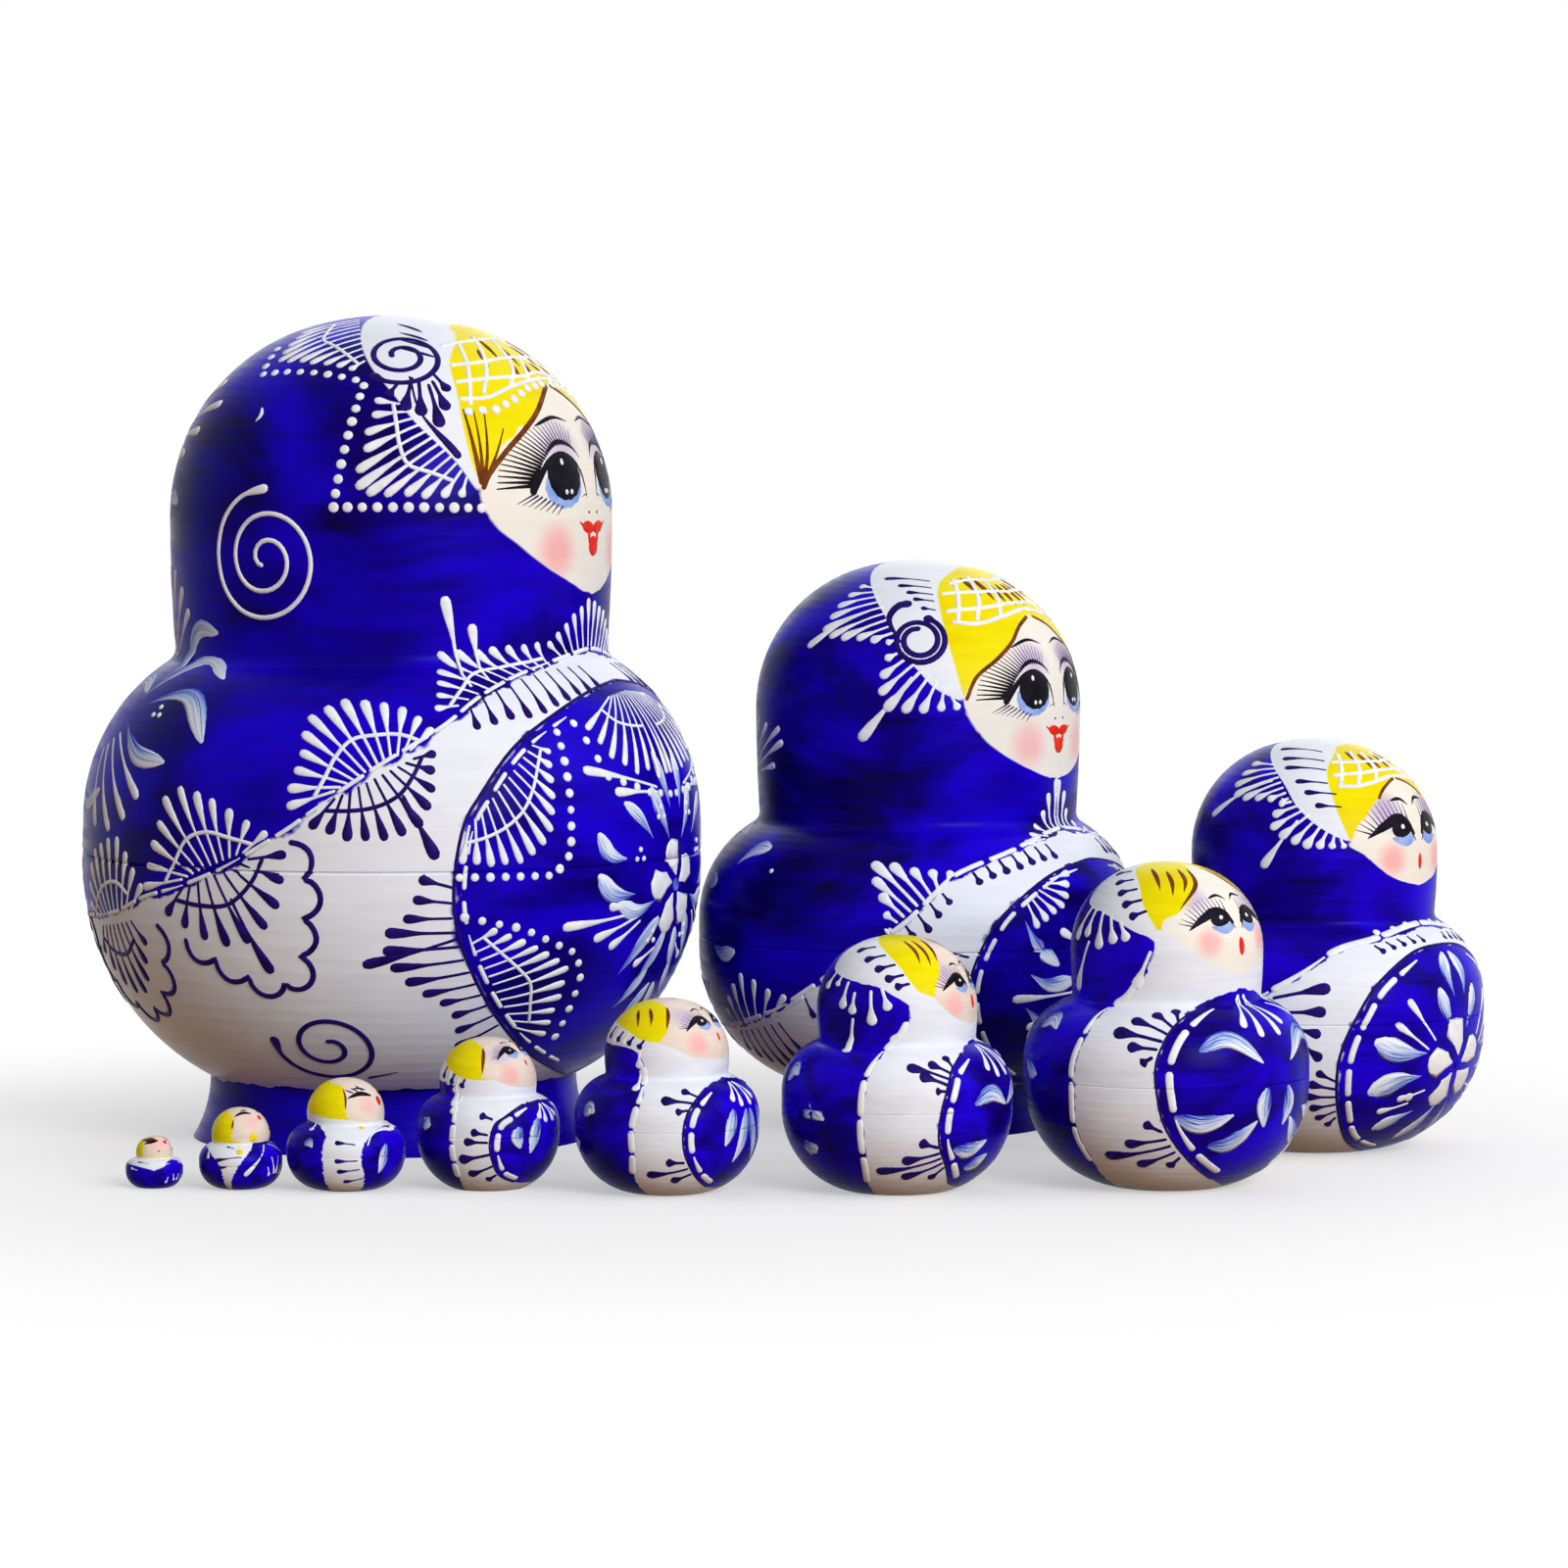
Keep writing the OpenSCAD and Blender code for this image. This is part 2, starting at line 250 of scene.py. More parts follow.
@dataclass(frozen=True)
class TwoToneFinish(InkFinish):
    """A brush dipped in two paints, pale at one edge and dark at the other.

    Attributes:
        middle: Colour half way across the stroke.
    """

    middle: str = "8fb0ea"

    LANES, LANE_NOISE, VARIETY = 4.0, 2.2, 40.0
    EDGE_TONE, LEAN, FADE, STREAKS = 0.86, 0.34, 0.7, 0.4
    SMOOTHER = 0.06
    BRISTLE_DEPTH = 0.1 * MM

    def material(self, name: str) -> Material:
        """Make the finish, with bristle streaks along the stroke.

        Args:
            name: Name of the material.

        Returns:
            The material.
        """
        recipe = Recipe(name)
        across = recipe.node("Attribute", {}, attribute_name="across").outputs["Fac"]
        along = recipe.node("Attribute", {}, attribute_name="along").outputs["Fac"]
        lanes = recipe.node("CombineXYZ", {0: recipe.math("MULTIPLY", across, self.LANES), 1: along}).outputs[0]
        place = recipe.node("TexCoord", {}).outputs["Object"]
        moved = recipe.vector("MULTIPLY", place, (self.VARIETY,) * 3)
        bristle = recipe.noise(recipe.vector("ADD", lanes, moved), self.LANE_NOISE, 3.0)
        tone = recipe.math("MULTIPLY_ADD", across, self.LEAN, self.EDGE_TONE)
        tone = recipe.math("SUBTRACT", tone, recipe.math("MULTIPLY", along, self.FADE))
        tone = recipe.math("ADD", tone, recipe.spread(bristle, -self.STREAKS, self.STREAKS))
        pale = recipe.blend(recipe.step(tone, 0.15, 0.7), linear(self.bright), linear(self.middle))
        colour = recipe.blend(recipe.step(tone, 0.5, 1.05), pale, linear(self.deep))
        roughness = recipe.spread(bristle, self.roughness - self.SMOOTHER, self.roughness + self.ROUGHER)
        return recipe.finish(colour, roughness, bristle, self.BRISTLE_DEPTH)


class Relief(Enum):
    """Groups of raised paint, each one mesh on every half."""

    WHITE = "white_relief"
    INDIGO = "indigo_relief"
    FINE = "fine_brushwork"


class Ink(Enum):
    """Paints of the raised strokes."""

    WHITE = InkFinish("e2e6ee", "f6f8fb", 0.42)
    INDIGO = InkFinish("16084e", "2a1478", 0.36)
    SKY = TwoToneFinish("1c08b8", "eaf0fa", 0.42)
    BROWN = InkFinish("5a2c10", "8a4a1c", 0.45)
    BLACK = InkFinish("0c0b12", "1d1a26", 0.34)
    RED = InkFinish("d81c10", "ee3a26", 0.38)
    ICE = InkFinish("789ce6", "a6bef2", 0.4)
    PLUM = InkFinish("2a1a4a", "4a3670", 0.42)
    YELLOW = InkFinish("ecc800", "fbe612", 0.45)

    @property
    def relief(self) -> Relief:
        """Group that the paint belongs to."""
        if self in (Ink.WHITE, Ink.SKY, Ink.YELLOW):
            return Relief.WHITE
        return Relief.INDIGO if self is Ink.INDIGO else Relief.FINE


class BareWood:
    """Turned lime wood, left unpainted inside and at the joints."""

    GROWTH_RINGS = 260.0
    ALONG_FIBRE = 0.08
    DARK, PALE = "c79f6a", "e6cb9c"

    def colour(self, recipe: Recipe, place: Socket) -> Socket:
        """Pale wood with fine grain along the doll's axis.

        Args:
            recipe: Material that the wood is mixed into.
            place: Place in the doll's own axes.

        Returns:
            Colour of the wood.
        """
        fibre = recipe.vector("MULTIPLY", place, (1.0, 1.0, self.ALONG_FIBRE))
        grain = recipe.noise(fibre, self.GROWTH_RINGS, 4.0)
        return recipe.blend(recipe.spread(grain, 0.0, 1.0), linear(self.DARK), linear(self.PALE))


class Border(Enum):
    """How a painted field's edge is read from its marks."""

    WITHIN = "inside the marked side angle"
    BEYOND = "outside the marked side angle"
    FRONT = "further forward than the marks"


@dataclass(frozen=True)
class Field:
    """A painted field of the ground.

    Attributes:
        coat: Its paint.
        border: How its edge is read.
        marks: Side angle and height along the edge, from low to high.
    """

    coat: Coat
    border: Border
    marks: Marks

    @property
    def above(self) -> float:
        """Height below which the field is left out, where its edge starts off the middle line."""
        side, z = self.marks[0]
        return z if side and self.border is not Border.BEYOND else 0.0


@dataclass(frozen=True)
class Blush:
    """A soft dab of colour on both sides of the face.

    Attributes:
        coat: Its paint.
        mark: Side angle and height of its middle.
        reach: Radius at which it has faded out, in millimetres.
        strength: Share of the colour at the middle.
    """

    coat: Coat
    mark: Mark
    reach: float
    strength: float


class TurnedSurface:
    """Outer surface of one doll, felt from outside on its solids."""

    RINGS = 240
    POLE_GAP = 0.02

    def __init__(self, nodes: Sequence[bpy.types.Object], facing: float) -> None:
        """Read the profile.

        Args:
            nodes: The doll's solids.
            facing: Turn of the face from the viewer towards the right, in degrees.
        """
        boxes = [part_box(o.name) for o in nodes]
        low = np.min([np.array(b[0]) for b in boxes], axis=0)
        high = np.max([np.array(b[1]) for b in boxes], axis=0)
        self.place = np.array([(low[0] + high[0]) / 2, (low[1] + high[1]) / 2, 0.0])
        self.height = float(high[2])
        turn = math.radians(facing)
        self.front = np.array([math.sin(turn), -math.cos(turn), 0.0])
        self.right = np.array([math.cos(turn), math.sin(turn), 0.0])
        reach = float(high[0] - low[0])
        trees = [self._tree(o) for o in nodes]
        shares = 0.5 - 0.5 * np.cos(np.linspace(self.POLE_GAP, math.pi - self.POLE_GAP, self.RINGS))
        profile = []
        for z in shares * self.height:
            start = Vector(self.place + self.front * reach) + Vector((0.0, 0.0, z))
            hits = [t.ray_cast(start, Vector(-self.front), reach)[3] for t in trees]
            profile.append((reach - min(h for h in hits if h is not None), z))
        profile.append((0.0, self.height))
        self.radii, self.levels = np.array(profile).T
        slope = np.stack([np.gradient(self.radii), np.gradient(self.levels)], axis=1)
        slope /= np.linalg.norm(slope, axis=1, keepdims=True)
        self.leans = np.stack([slope[:, 1], -slope[:, 0]], axis=1)
        self.leans[-1] = (0.0, 1.0)

    @staticmethod
    def _tree(o: bpy.types.Object) -> BVHTree:
        """Search tree of a solid's faces."""
        mesh = o.data
        return BVHTree.FromPolygons([v.co for v in mesh.vertices], [p.vertices for p in mesh.polygons])

    def radius(self, share: float) -> float:
        """Radius at a share of the height."""
        return float(np.interp(share * self.height, self.levels, self.radii))

    def points(self, marks: Marks) -> Array:
        """Places of side angles and shares of the height.

        Args:
            marks: Side angles in degrees and shares of the height.

        Returns:
            One place for each mark.
        """
        sides, shares = np.radians([m[0] for m in marks]), np.array([m[1] for m in marks])
        radii = np.interp(shares * self.height, self.levels, self.radii)
        out = np.cos(sides)[:, None] * self.front + np.sin(sides)[:, None] * self.right
        return self.place + radii[:, None] * out + np.array([[0.0, 0.0, s * self.height] for s in shares])

    def snap(self, places: Array) -> tuple[Array, Array]:
        """Nearest places on the surface.

        Args:
            places: Places near the surface.

        Returns:
            Places on it and the surface's outward directions there.
        """
        away = places - self.place
        reach = np.hypot(away[:, 0], away[:, 1])
        out = np.zeros_like(away)
        out[:, :2] = away[:, :2] / np.maximum(reach, 1e-9)[:, None]
        flat = np.stack([reach, away[:, 2]], axis=1)
        line = np.stack([self.radii, self.levels], axis=1)
        start, run = line[:-1], np.diff(line, axis=0)
        share = np.einsum("nmk,mk->nm", flat[:, None] - start, run) / np.einsum("mk,mk->m", run, run)
        share = np.clip(share, 0.0, 1.0)
        near = start + share[:, :, None] * run
        best = np.argmin(np.sum((flat[:, None] - near) ** 2, axis=2), axis=1)
        rows = np.arange(len(places))
        spot, part = near[rows, best], share[rows, best][:, None]
        lean = self.leans[best] * (1 - part) + self.leans[best + 1] * part
        lean /= np.linalg.norm(lean, axis=1, keepdims=True)
        up = np.array([0.0, 0.0, 1.0])
        return self.place + spot[:, :1] * out + spot[:, 1:] * up, lean[:, :1] * out + lean[:, 1:] * up


class Taper(Enum):
    """Widths along a stroke."""

    DROP = "thin tail and a round head"
    EVEN = "one width with round ends"
    LEAF = "pointed at both ends"
    PETAL = "thin tail and a broad rounded head"
    TAIL = "round start that thins out"

    def widths(self, along: Array, ratio: float) -> Array:
        """Shares of the full width.

        Args:
            along: Places along the stroke, from 0 to 1.
            ratio: Full width over length.

        Returns:
            One share for each place, nothing at both ends.
        """
        if self is Taper.LEAF:
            return np.sin(math.pi * along**0.8) ** 0.75
        if self is Taper.PETAL:
            return np.sin(math.pi * along**1.7) ** 0.7
        rise = np.clip((along - 0.42) / 0.48, 0.0, 1.0)
        body = {
            Taper.DROP: 0.32 + 0.68 * rise * rise * (3 - 2 * rise),
            Taper.TAIL: 1.0 - 0.72 * along**0.8,
            Taper.EVEN: np.ones_like(along),
        }[self]
        half = max(1e-3, min(0.5, ratio / 2))
        end = np.minimum(np.minimum(along / body[0], (1 - along) / body[-1]) / half, 1.0)
        return body * np.sqrt(np.maximum(0.0, 1 - (1 - end) ** 2))


@dataclass
class Skin:
    """Closed skins of strokes, gathered into one mesh.

    Attributes:
        verts: Places of the corners, one block for each stroke.
        faces: Corners of each face.
        inks: Paint of each face.
        across: Place across the stroke at each corner, from -1 to 1.
        along: Place along the stroke at each corner, from 0 to 1.
    """

    verts: list[Array] = field(default_factory=list)
    faces: list[tuple[int, ...]] = field(default_factory=list)
    inks: list[Ink] = field(default_factory=list)
    across: list[float] = field(default_factory=list)
    along: list[float] = field(default_factory=list)

    CRACK = 0.02 * MM
    SLACK = 1e-7

    def add(self, ink: Ink, verts: Array, faces: Sequence[tuple[int, ...]], across: Array, along: Array) -> None:
        """Take one stroke in.

        Args:
            ink: Its paint.
            verts: Places of its corners.
            faces: Its faces, as numbers of its own corners.
            across: Place across the stroke at each corner.
            along: Place along the stroke at each corner.
        """
        first = len(self.across)
        self.verts.append(verts)
        self.faces.extend(tuple(first + k for k in face) for face in faces)
        self.inks.extend([ink] * len(faces))
        self.across.extend(across)
        self.along.extend(along)

    def mesh(self, inks: dict[Ink, Material]) -> bpy.types.Mesh:
        """Make the mesh.

        Args:
            inks: Materials of the paints.

        Returns:
            The mesh with the materials of the paints that it holds.
        """
        mesh = bpy.data.meshes.new("brushwork")
        mesh.from_pydata(np.concatenate(self.verts).tolist(), [], self.faces)
        used = [ink for ink in Ink if ink in self.inks]
        for ink in used:
            mesh.materials.append(inks[ink])
        mesh.polygons.foreach_set("material_index", [used.index(ink) for ink in self.inks])
        mesh.polygons.foreach_set("use_smooth", [True] * len(self.faces))
        for name, values in (("across", self.across), ("along", self.along)):
            layer = mesh.attributes.new(name, "FLOAT", "POINT")
            layer.data.foreach_set("value", np.array(values, dtype=np.float32))
        return mesh

    @staticmethod
    def cut(mesh: bpy.types.Mesh, seam: float, keep_above: bool) -> bpy.types.Mesh:
        """Part of a mesh on one side of the doll's joint line, a hair short of it.

        Args:
            mesh: The whole mesh.
            seam: Height of the joint line in metres.
            keep_above: Whether the upper part is kept.

        Returns:
            The closed part.
        """
        part = bmesh.new()
        part.from_mesh(mesh)
        level = seam + Skin.CRACK if keep_above else seam - Skin.CRACK
        bmesh.ops.bisect_plane(
            part,
            geom=[*part.verts, *part.edges, *part.faces],
            dist=Skin.SLACK,
            plane_co=(0.0, 0.0, level),
            plane_no=(0.0, 0.0, 1.0),
            clear_inner=keep_above,
            clear_outer=not keep_above,
        )
        bmesh.ops.holes_fill(part, edges=[e for e in part.edges if e.is_boundary], sides=0)
        made = mesh.copy()
        part.to_mesh(made)
        part.free()
        return made


@dataclass
class Brushwork:
    """Raised strokes of one doll.

    Attributes:
        surface: The doll's outer surface.
        rule: Full height of the drawing that the marks are read from.
        lift: Height of a full stroke over the ground, in millimetres.
        hand: 1 for the side that the marks are drawn on, -1 for its mirror image.
    """

    surface: TurnedSurface
    rule: float
    lift: float
    hand: int = 1
    skins: dict[Relief, Skin] = field(default_factory=lambda: {relief: Skin() for relief in Relief})
    chance: random.Random = field(default_factory=lambda: random.Random(7))

    SINK = 0.35
    PROFILE = ((-1.0, None), (-0.66, 0.68), (0.0, 1.0), (0.66, 0.68), (1.0, None))
    SIDES = 14
    DAB_RINGS = ((0.6, 0.92), (0.88, 0.6), (1.0, None))
    BEND_STEPS, ROUGH_STEPS = 12, 24
    STEPS_A_WIDTH, FEWEST, FEWEST_IN_DROP, MOST = 1.6, 16, 13, 90
    END_STEPS, END_GAP = (0.0, 0.12, 0.4), 0.7
    TRIO, TRIO_RADIUS = ((0.0, 1.1), (-1.0, -0.6), (1.0, -0.6)), 0.55
    DROP_SWELL, ARC_WIDTH, ARC_LIFT, PETAL_LIFT = 1.25, 0.5, 0.8, 0.6
    DROP_REACH, DROP_WIDTH, DOT_SIZE = (0.95, 1.03), (1.0, 1.22), (0.88, 1.1)
    BLOOM_REACH, BLOOM_BEND = (0.86, 1.1), (0.15, 0.5)
    ROUTE_STEPS, FAN_STEPS, DASH_STEPS, TURN_STEPS, LOBE_STEPS = 160, 40, 8, 12, 12
    SCROLL_END, SCROLL_LIFT = 1.9, 1.05

    def at(self, *marks: Mark) -> Array:
        """Places of marks on the side that is being painted."""
        return self.surface.points([(self.hand * a, z / self.rule) for a, z in marks])

    def near(self, mark: Mark, *offsets: Mark) -> Array:
        """Places beside a mark.

        Args:
            mark: Side angle and height of the middle.
            offsets: Steps to the right and up over the surface, in millimetres.

        Returns:
            One place for each step.
        """
        middle, lean = self.surface.snap(self.at(mark))
        right = np.cross([0.0, 0.0, 1.0], lean[0])
        right /= np.linalg.norm(right)
        up = np.cross(lean[0], right)
        steps = [(self.hand * x * MM, y * MM) for x, y in offsets]
        return self.surface.snap(np.array([middle[0] + x * right + y * up for x, y in steps]))[0]

    @staticmethod
    def smooth(places: Array, count: int) -> Array:
        """Even steps along a smooth line through places.

        Args:
            places: Places that the line goes through.
            count: Number of steps.

        Returns:
            The stepped line.
        """
        if len(places) > 2:
            ends = np.concatenate([[2 * places[0] - places[1]], places, [2 * places[-1] - places[-2]]])
            t = np.linspace(0, 1, Brushwork.BEND_STEPS + 1)[:-1, None]
            bits = [
                0.5 * (2 * b + (c - a) * t + (2 * a - 5 * b + 4 * c - d) * t**2 + (3 * b - a - 3 * c + d) * t**3)
                for a, b, c, d in zip(ends, ends[1:], ends[2:], ends[3:])
            ]
            places = np.concatenate([*bits, places[-1:]])
        return Brushwork.stepped(places, np.linspace(0, 1, count))

    @staticmethod
    def stepped(places: Array, shares: Array) -> Array:
        """Places at shares of the length of a line."""
        run = np.concatenate([[0.0], np.cumsum(np.linalg.norm(np.diff(places, axis=0), axis=1))])
        return np.stack([np.interp(shares * run[-1], run, places[:, k]) for k in range(3)], axis=1)

    def steps(self, count: int, ratio: float) -> Array:
        """Steps along a stroke, closer together at its ends.

        Args:
            count: Number of steps.
            ratio: Full width over length.

        Returns:
            Shares of the length.
        """
        if count < self.FEWEST:
            return 0.5 - 0.5 * np.cos(np.linspace(0, math.pi, count))
        even, ends, gap = np.linspace(0, 1, count), ratio * np.array(self.END_STEPS), self.END_GAP * ratio
        return np.concatenate([ends, even[(even > gap) & (even < 1 - gap)], 1 - ends[::-1]])

    def line(self, ink: Ink, places: Array, width: float, taper: Taper = Taper.EVEN, lift: float = 1.0) -> None:
        """Lay a stroke along a line.

        Args:
            ink: Its paint.
            places: Places that it goes through.
            width: Full width in millimetres.
            taper: Widths along it.
            lift: Share of the full height.
        """
        rough = self.smooth(places, self.ROUGH_STEPS)
        ratio = width * MM / float(np.sum(np.linalg.norm(np.diff(rough, axis=0), axis=1)))
        fewest = self.FEWEST_IN_DROP if taper is Taper.DROP else self.FEWEST
        count = int(np.clip(self.STEPS_A_WIDTH / ratio, fewest, self.MOST))
        shares = self.steps(count, ratio)
        spine, normals = self.surface.snap(self.stepped(self.smooth(places, 3 * count), shares))
        tangents = np.gradient(spine, axis=0)
        tangents /= np.maximum(np.linalg.norm(tangents, axis=1, keepdims=True), 1e-12)
        sides = np.cross(normals, tangents)
        part = taper.widths(shares, ratio)
        half, rise, sink = width * MM / 2, self.lift * lift * MM, self.SINK * self.lift * MM
        rings = [
            spine[1:-1]
            + sides[1:-1] * (u * half * part[1:-1])[:, None]
            + normals[1:-1] * (np.full(len(part) - 2, -sink) if h is None else h * rise * part[1:-1] ** 0.7)[:, None]
            for u, h in self.PROFILE
        ]
        size, inner = len(rings), len(spine) - 2
        verts = np.concatenate([np.stack(rings, axis=1).reshape(-1, 3), (spine - normals * sink)[[0, -1]]])
        start, end = size * inner, size * inner + 1
        faces = [
            (size * i + k, size * (i + 1) + k, size * (i + 1) + (k + 1) % size, size * i + (k + 1) % size)
            for i in range(inner - 1)
            for k in range(size)
        ]
        faces += [(start, k, (k + 1) % size) for k in range(size)]
        faces += [(end, size * (inner - 1) + (k + 1) % size, size * (inner - 1) + k) for k in range(size)]
        lanes = np.array([u for u, _ in self.PROFILE]) * self.hand
        across = np.concatenate([np.tile(lanes, inner), [0, 0]])
        along = np.concatenate([np.repeat(shares[1:-1], size), [0, 1]])
        self.skins[ink.relief].add(ink, verts, faces, across, along)

    def oval(self, ink: Ink, mark: Mark, middle: Mark, half: Mark, tilt: float = 0.0, lift: float = 1.0) -> None:
        """Lay an oval dab.

        Args:
            ink: Its paint.
            mark: Mark that it is measured from.
            middle: Its middle, as a step from the mark in millimetres.
            half: Half its width and half its height in millimetres.
            tilt: Turn against the clock, in degrees.
            lift: Share of the full height.
        """
        c, s = math.cos(math.radians(tilt)), math.sin(math.radians(tilt))
        turns = np.arange(self.SIDES) * 2 * math.pi / self.SIDES
        steps, heights = [middle], [1.0]
        for size, height in self.DAB_RINGS:
            for a in turns:
                x, y = half[0] * size * math.cos(a), half[1] * size * math.sin(a)
                steps.append((middle[0] + c * x - s * y, middle[1] + s * x + c * y))
                heights.append(height)
        spots, normals = self.surface.snap(self.near(mark, *steps, middle))
        sink = self.SINK * self.lift * MM
        rise = np.array([-sink if h is None else h * lift * self.lift * MM for h in [*heights, None]])
        verts = spots + normals * rise[:, None]
        n, last = self.SIDES, len(verts) - 1
        faces = [(0, 1 + k, 1 + (k + 1) % n) for k in range(n)]
        for ring in range(2):
            a, b = 1 + ring * n, 1 + (ring + 1) * n
            faces += [(a + k, b + k, b + (k + 1) % n, a + (k + 1) % n) for k in range(n)]
        faces += [(last, 1 + 2 * n + (k + 1) % n, 1 + 2 * n + k) for k in range(n)]
        if self.hand < 0:
            faces = [face[::-1] for face in faces]
        self.skins[ink.relief].add(ink, verts, faces, np.zeros(len(verts)), np.zeros(len(verts)))

    def dot(self, ink: Ink, mark: Mark, radius: float, offset: Mark = (0.0, 0.0), lift: float = 1.2) -> None:
        """Lay a round dab."""
        self.oval(ink, mark, offset, (radius, radius), lift=lift)

    def drop(self, tail: Mark, tip: Mark, width: float, *, ink: Ink = Ink.WHITE) -> None:
        """Lay a teardrop from its thin tail to its round tip."""
        self.line(ink, self.at(tail, tip), self.DROP_SWELL * width, Taper.DROP)

    def drops(self, pairs: Iterable[tuple[Mark, Mark]], width: float, *, ink: Ink = Ink.WHITE) -> None:
        """Lay several teardrops of one width."""
        for tail, tip in pairs:
            self.drop(tail, tip, width, ink=ink)

    def lines(self, ink: Ink, routes: Iterable[Marks], width: float, taper: Taper, lift: float = 1.0) -> None:
        """Lay several strokes of one kind."""
        for route in routes:
            self.line(ink, self.at(*route), width, taper, lift)

    def petals(self, rows: Iterable[tuple[Marks, float]], swell: float = 1.0) -> None:
        """Lay pale petals along routes, with the swell as a factor on their widths."""
        for route, width in rows:
            self.line(Ink.SKY, self.at(*route), swell * width, Taper.PETAL, self.PETAL_LIFT)

    def trio(self, mark: Mark) -> None:
        """Lay three white dots round a mark."""
        for step in self.TRIO:
            self.dot(Ink.WHITE, mark, self.TRIO_RADIUS, step)

    def comb(self, base: Marks, tips: Marks, count: int, width: float, arc: float = 0, *, ink: Ink = Ink.WHITE) -> None:
        """Lay a fan of teardrops.

        Args:
            base: Line that the tails start from.
            tips: Line that the round heads end on.
            count: Number of teardrops.
            width: Full width of each in millimetres.
            arc: Share of their length at which a thin line crosses them, or 0 for none.
            ink: Their paint.
        """
        shares = np.linspace(0, 1, count)
        tails = self.stepped(self.at(*base), shares)
        ends = self.at(*tips)
        heads = self.stepped(self.smooth(ends, self.FAN_STEPS) if len(tips) > 3 else ends, shares)
        for tail, head in zip(tails, heads):
            head = tail + (head - tail) * self.chance.uniform(*self.DROP_REACH)
            self.line(ink, np.array([tail, head]), width * self.chance.uniform(*self.DROP_WIDTH), Taper.DROP)
        if arc:
            crossing = tails[::2] + (heads[::2] - tails[::2]) * arc
            self.line(ink, crossing, self.ARC_WIDTH * width, lift=self.ARC_LIFT)

    def dots(self, marks: Marks, count: int, radius: float) -> None:
        """Lay a row of white dots along straight runs between marks."""
        places = self.stepped(self.at(*marks), np.linspace(0, 1, count))
        for place in self.surface.snap(places)[0]:
            self.dot(Ink.WHITE, self.mark_of(place), radius * self.chance.uniform(*self.DOT_SIZE))

    def mark_of(self, place: Array) -> Mark:
        """Mark of a place on the side that is being painted."""
        away = place - self.surface.place
        side = math.degrees(math.atan2(away @ self.surface.right, away @ self.surface.front))
        return self.hand * side, float(away[2]) / self.surface.height * self.rule

    def dashes(self, marks: Marks, count: int, width: float, fill: float = 0.7) -> None:
        """Lay a broken white line.

        Args:
            marks: Marks that the line goes through.
            count: Number of dashes.
            width: Full width in millimetres.
            fill: Share of the line that is painted.
        """
        route = self.smooth(self.at(*marks), self.ROUTE_STEPS)
        for k in range(count):
            ends = (k + (1 - fill) / 2) / count, (k + (1 + fill) / 2) / count
            piece = self.stepped(route, np.linspace(*ends, self.DASH_STEPS))
            self.line(Ink.WHITE, piece, width, self.chance.choice((Taper.EVEN, Taper.EVEN, Taper.TAIL)))

    def spiral(self, ink: Ink, mark: Mark, start: float, turns: float, radii: Mark, width: float) -> None:
        """Lay a scroll from its middle outwards, against the clock on the drawn side.

        Args:
            ink: Its paint.
            mark: Its middle.
            start: Direction of its inner end, in degrees.
            turns: Number of turns, below 0 to run with the clock.
            radii: Inner and outer radius in millimetres.
            width: Full width in millimetres.
        """
        steps = []
        for share in np.linspace(0, 1, int(abs(turns) * self.TURN_STEPS) + 2):
            angle = math.radians(start + 360 * turns * share)
            reach = radii[0] + (radii[1] - radii[0]) * share
            steps.append((reach * math.cos(angle), reach * math.sin(angle)))
        self.line(ink, self.near(mark, *steps), width)
        self.line(ink, self.near(mark, *steps[-3:]), self.SCROLL_END * width, Taper.DROP, self.SCROLL_LIFT)

    def scallop(self, ink: Ink, marks: Marks, bumps: int, depth: float, width: float) -> None:
        """Lay a scalloped line.

        Args:
            ink: Its paint.
            marks: Marks that its inner points lie on.
            bumps: Number of lobes.
            depth: How far a lobe stands out to the left of the run, in millimetres.
            width: Full width in millimetres.
        """
        route = self.smooth(self.at(*marks), self.LOBE_STEPS * bumps + 1)
        spots, normals = self.surface.snap(route)
        tangents = np.gradient(spots, axis=0)
        tangents /= np.linalg.norm(tangents, axis=1, keepdims=True)
        aside = np.cross(normals, tangents) * self.hand
        swell = np.abs(np.sin(np.linspace(0, bumps * math.pi, len(route)))) ** 0.7
        self.line(ink, spots + aside * (swell * depth * MM)[:, None], width)

    def bloom(self, ink: Ink, mark: Mark, petals: int, length: float, width: float, start: float = 90.0) -> None:
        """Lay petals round a middle.

        Args:
            ink: Their paint.
            mark: The middle.
            petals: Number of petals.
            length: Length of a petal in millimetres.
            width: Full width of a petal in millimetres.
            start: Direction of the first petal, in degrees.
        """
        for k in range(petals):
            reach, turn = length * self.chance.uniform(*self.BLOOM_REACH), math.radians(start + 360 * k / petals)
            bend = self.chance.uniform(*self.BLOOM_BEND)
            steps = [(0.14, 0.0), (0.55, 0.3 * bend), (1.0, bend)]
            ends = [(d * reach * math.cos(turn + a), d * reach * math.sin(turn + a)) for d, a in steps]
            self.line(ink, self.near(mark, *ends), width, Taper.PETAL)


